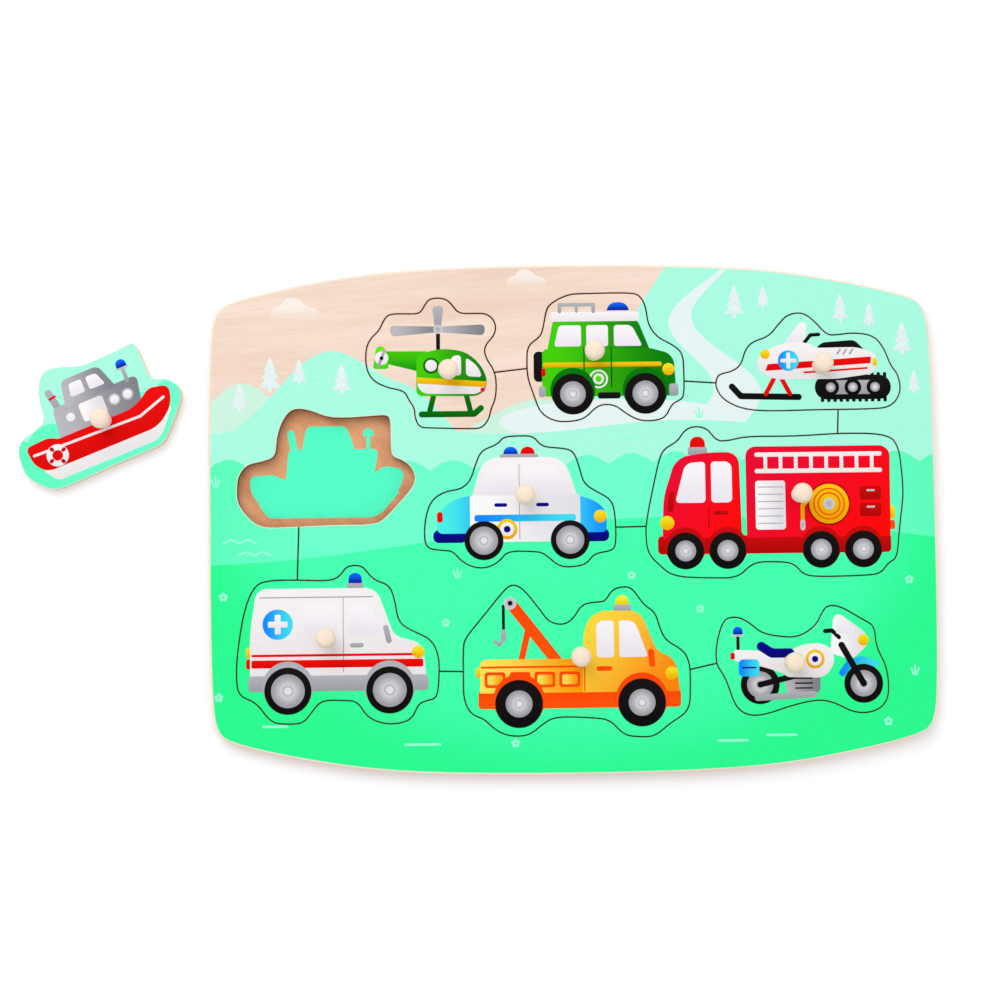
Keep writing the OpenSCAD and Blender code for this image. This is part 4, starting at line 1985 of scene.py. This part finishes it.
@dataclass
class Studio:
    """The pale table, the soft light and the camera."""

    lens: float = 72.0  # mm
    sensor: float = 36.0  # mm
    tilt: float = -3.62  # degrees about X, then Y, then Z
    lean: float = 1.01
    roll: float = 0.65
    eye: Point = (-0.0447, -0.0443, 0.8295)  # m
    reach: tuple[float, float] = (0.01, 20.0)  # the nearest and the farthest that the camera sees, m
    table_half: float = 4.0  # m
    table_drop: float = 2e-5  # m, so that the table is clear of the underside
    table_colour: Colour = paint(247, 249, 252)
    table_glow: float = 0.12
    shade_end: float = 420.0  # how far from the puzzle the table starts to fade into the white room, mm
    haze_end: float = 1400.0  # how far from it the table has faded, mm
    fill: float = 0.68  # the room's light on the puzzle, where 1 is white
    lamps: tuple[SoftBox, ...] = (
        SoftBox("window", (-0.45, 0.75, 1.3), 1.1, 9.7),
        SoftBox("side_softbox", (0.8, 0.1, 1.3), 1.2, 1.6),
    )

    def camera(self) -> None:
        """Sets the camera where the photograph was taken from."""
        turns = [
            Matrix.Rotation(math.radians(angle), 3, axis)
            for angle, axis in ((self.roll, "Z"), (self.lean, "Y"), (self.tilt, "X"))
        ]
        away = (turns[0] @ turns[1] @ turns[2]).transposed().to_4x4()
        data = bpy.data.cameras.new("camera")
        data.lens, data.sensor_width = self.lens, self.sensor
        data.clip_start, data.clip_end = self.reach
        camera = bpy.data.objects.new("camera", data)
        camera.matrix_world = Matrix.Translation(self.eye) @ away
        bpy.context.scene.collection.objects.link(camera)
        bpy.context.scene.camera = camera

    def table(self) -> None:
        """Lays the white table under the puzzle, which fades into the room where it is far off."""
        shape = bmesh.new()
        drop = Matrix.Translation((0, 0, -self.table_drop))
        bmesh.ops.create_grid(shape, x_segments=1, y_segments=1, size=self.table_half, matrix=drop)
        recipe = Recipe("table_paper")
        east, north, _ = recipe.axes(recipe.place())
        away = (east * east + north * north).sum("SQRT")
        paper = recipe.add("ShaderNodeBsdfDiffuse", None, {"Color": self.table_colour})
        glow = recipe.seen() * (away.rise(self.shade_end, self.haze_end) + self.table_glow)
        light = recipe.add("ShaderNodeEmission", None, {"Strength": glow})
        both = recipe.add("ShaderNodeAddShader", None, {0: paper, 1: light})
        recipe.add("ShaderNodeOutputMaterial", None, {"Surface": both})
        hand_over(shape, "table", [recipe.made])

    def room(self) -> None:
        """Makes the room, which lights the puzzle softly and shows white behind it."""
        recipe = Recipe("room", bpy.data.worlds)
        strength = recipe.seen() * (1.0 - self.fill) + self.fill
        white = {"Color": paint(255, 255, 255), "Strength": strength}
        light = recipe.add("ShaderNodeBackground", None, white)
        recipe.add("ShaderNodeOutputWorld", None, {"Surface": light})
        bpy.context.scene.world = recipe.made

    def build(self) -> None:
        """Sets up camera, table, lamps and room."""
        self.camera()
        self.table()
        for lamp in self.lamps:
            lamp.hang()
        self.room()
        bpy.context.scene.view_settings.view_transform = "Standard"


# The puzzle


class Woods:
    """The finishes that the board and its pieces share."""

    def __init__(self) -> None:
        """Makes each of them once."""
        self.print = Landscape("printed_landscape").material()
        self.rim = Veneer("eased_rim", paint(252, 238, 222), paint(243, 222, 200)).material()
        self.bare = Veneer("bare_veneer").material()
        self.edge = Plies("plywood_edge", SHEET_FOOT).material()
        # The pocket walls are a darker brown than the outer edge: partly browning from the cut, partly
        # painted shade that darkens the narrow cuts, with more painted shade towards their foot.
        self.wall = Plies(
            "pocket_wall",
            SHEET_FOOT,
            side=paint(186, 142, 104),
            end=paint(156, 112, 78),
            glue=paint(120, 84, 56),
            foot_shade=0.9,
        ).material()
        self.peg = TurnedWood().material()


@dataclass
class PegPuzzle:
    """The whole puzzle: two glued sheets, nine pieces with their pegs, and what is printed on them."""

    boat_pocket: tuple[float, float] = (-101.7, 21.84)  # the open pocket's middle, mm
    boat_beside: tuple[float, float] = (-197.0, 46.0)  # where the boat lies, mm
    boat_turn: float = 22.0  # degrees
    boat_rims: Point = (-140.0, -4.0, -64.0, 50.0)  # where the open pocket's rim is bare, mm
    pictures: tuple[Picture, ...] = (
        Boat(),
        Helicopter(),
        OffRoadCar(),
        Snowmobile(),
        PoliceCar(),
        FireEngine(),
        Ambulance(),
        TowTruck(),
        Motorcycle(),
    )

    def boat_move(self) -> Matrix:
        """How the boat gets from its pocket to the table beside the board.

        Returns:
            The move, in millimetres.
        """
        out = Matrix.Translation((*self.boat_pocket, 0.0)).inverted()
        turned = Matrix.Rotation(math.radians(self.boat_turn), 4, "Z")
        return Matrix.Translation((*self.boat_beside, -SHEET_FOOT)) @ turned @ out

    def board(self, woods: Woods) -> None:
        """Builds the two glued sheets and prints the scenery.

        Args:
            woods: The finishes that the pieces share.
        """
        fibre = Fibreboard().material()
        SawnSheet(
            "front_sheet",
            "board",
            "printed_board",
            [woods.print, woods.edge, woods.rim, woods.bare, woods.wall],
            ease=0.25,
            outer_ease=0.8,
            underside_eased=False,
            worn=self.boat_rims,
        ).build()
        SawnSheet(
            "back_sheet",
            "board",
            "fibreboard",
            [fibre] * 4,
            ease=0.6,
            face_eased=False,
        ).build()
        Scenery().build()

    def piece(self, picture: Picture, woods: Woods) -> None:
        """Builds a piece with its peg, its picture and the shape on its pocket's floor.

        Args:
            picture: The piece's picture.
            woods: The finishes that the pieces share.
        """
        name, loose = picture.name, picture.name == "boat"
        finishes = [woods.print, woods.edge, woods.print, woods.bare]
        if loose:
            shift = tuple(self.boat_move().inverted().translation)
            finishes = [
                Landscape("printed_landscape_boat", -self.boat_turn, shift).material(),
                Plies("plywood_edge_boat", 0.0).material(),
                woods.rim,
                woods.bare,
            ]
        SawnSheet(f"{name}_plate", name, f"{name}_print", finishes).build()
        Peg(f"{name}_peg", name, woods.peg).build()
        place = self.boat_move() if loose else Matrix.Identity(4)
        sheet = InkPrint(f"printed_{name}", name, f"{name}_print", SHEET_TOP, place=place)
        picture.outline(sheet)
        picture.details(sheet)
        sheet.build()
        floor = InkPrint(f"pocket_{name}", "board", "fibreboard", SHEET_FOOT, SHADOW, film=0.002)
        picture.outline(floor)
        floor.build()

    def build(self) -> None:
        """Builds the board and then each piece."""
        woods = Woods()
        self.board(woods)
        for picture in self.pictures:
            self.piece(picture, woods)


def main() -> None:
    """Builds the puzzle and the studio, logging each object's faces and finishes as it is made."""
    logging.basicConfig(level=logging.INFO, format="%(name)s: %(message)s")
    PegPuzzle().build()
    Studio().build()


if __name__ == "__main__":
    main()
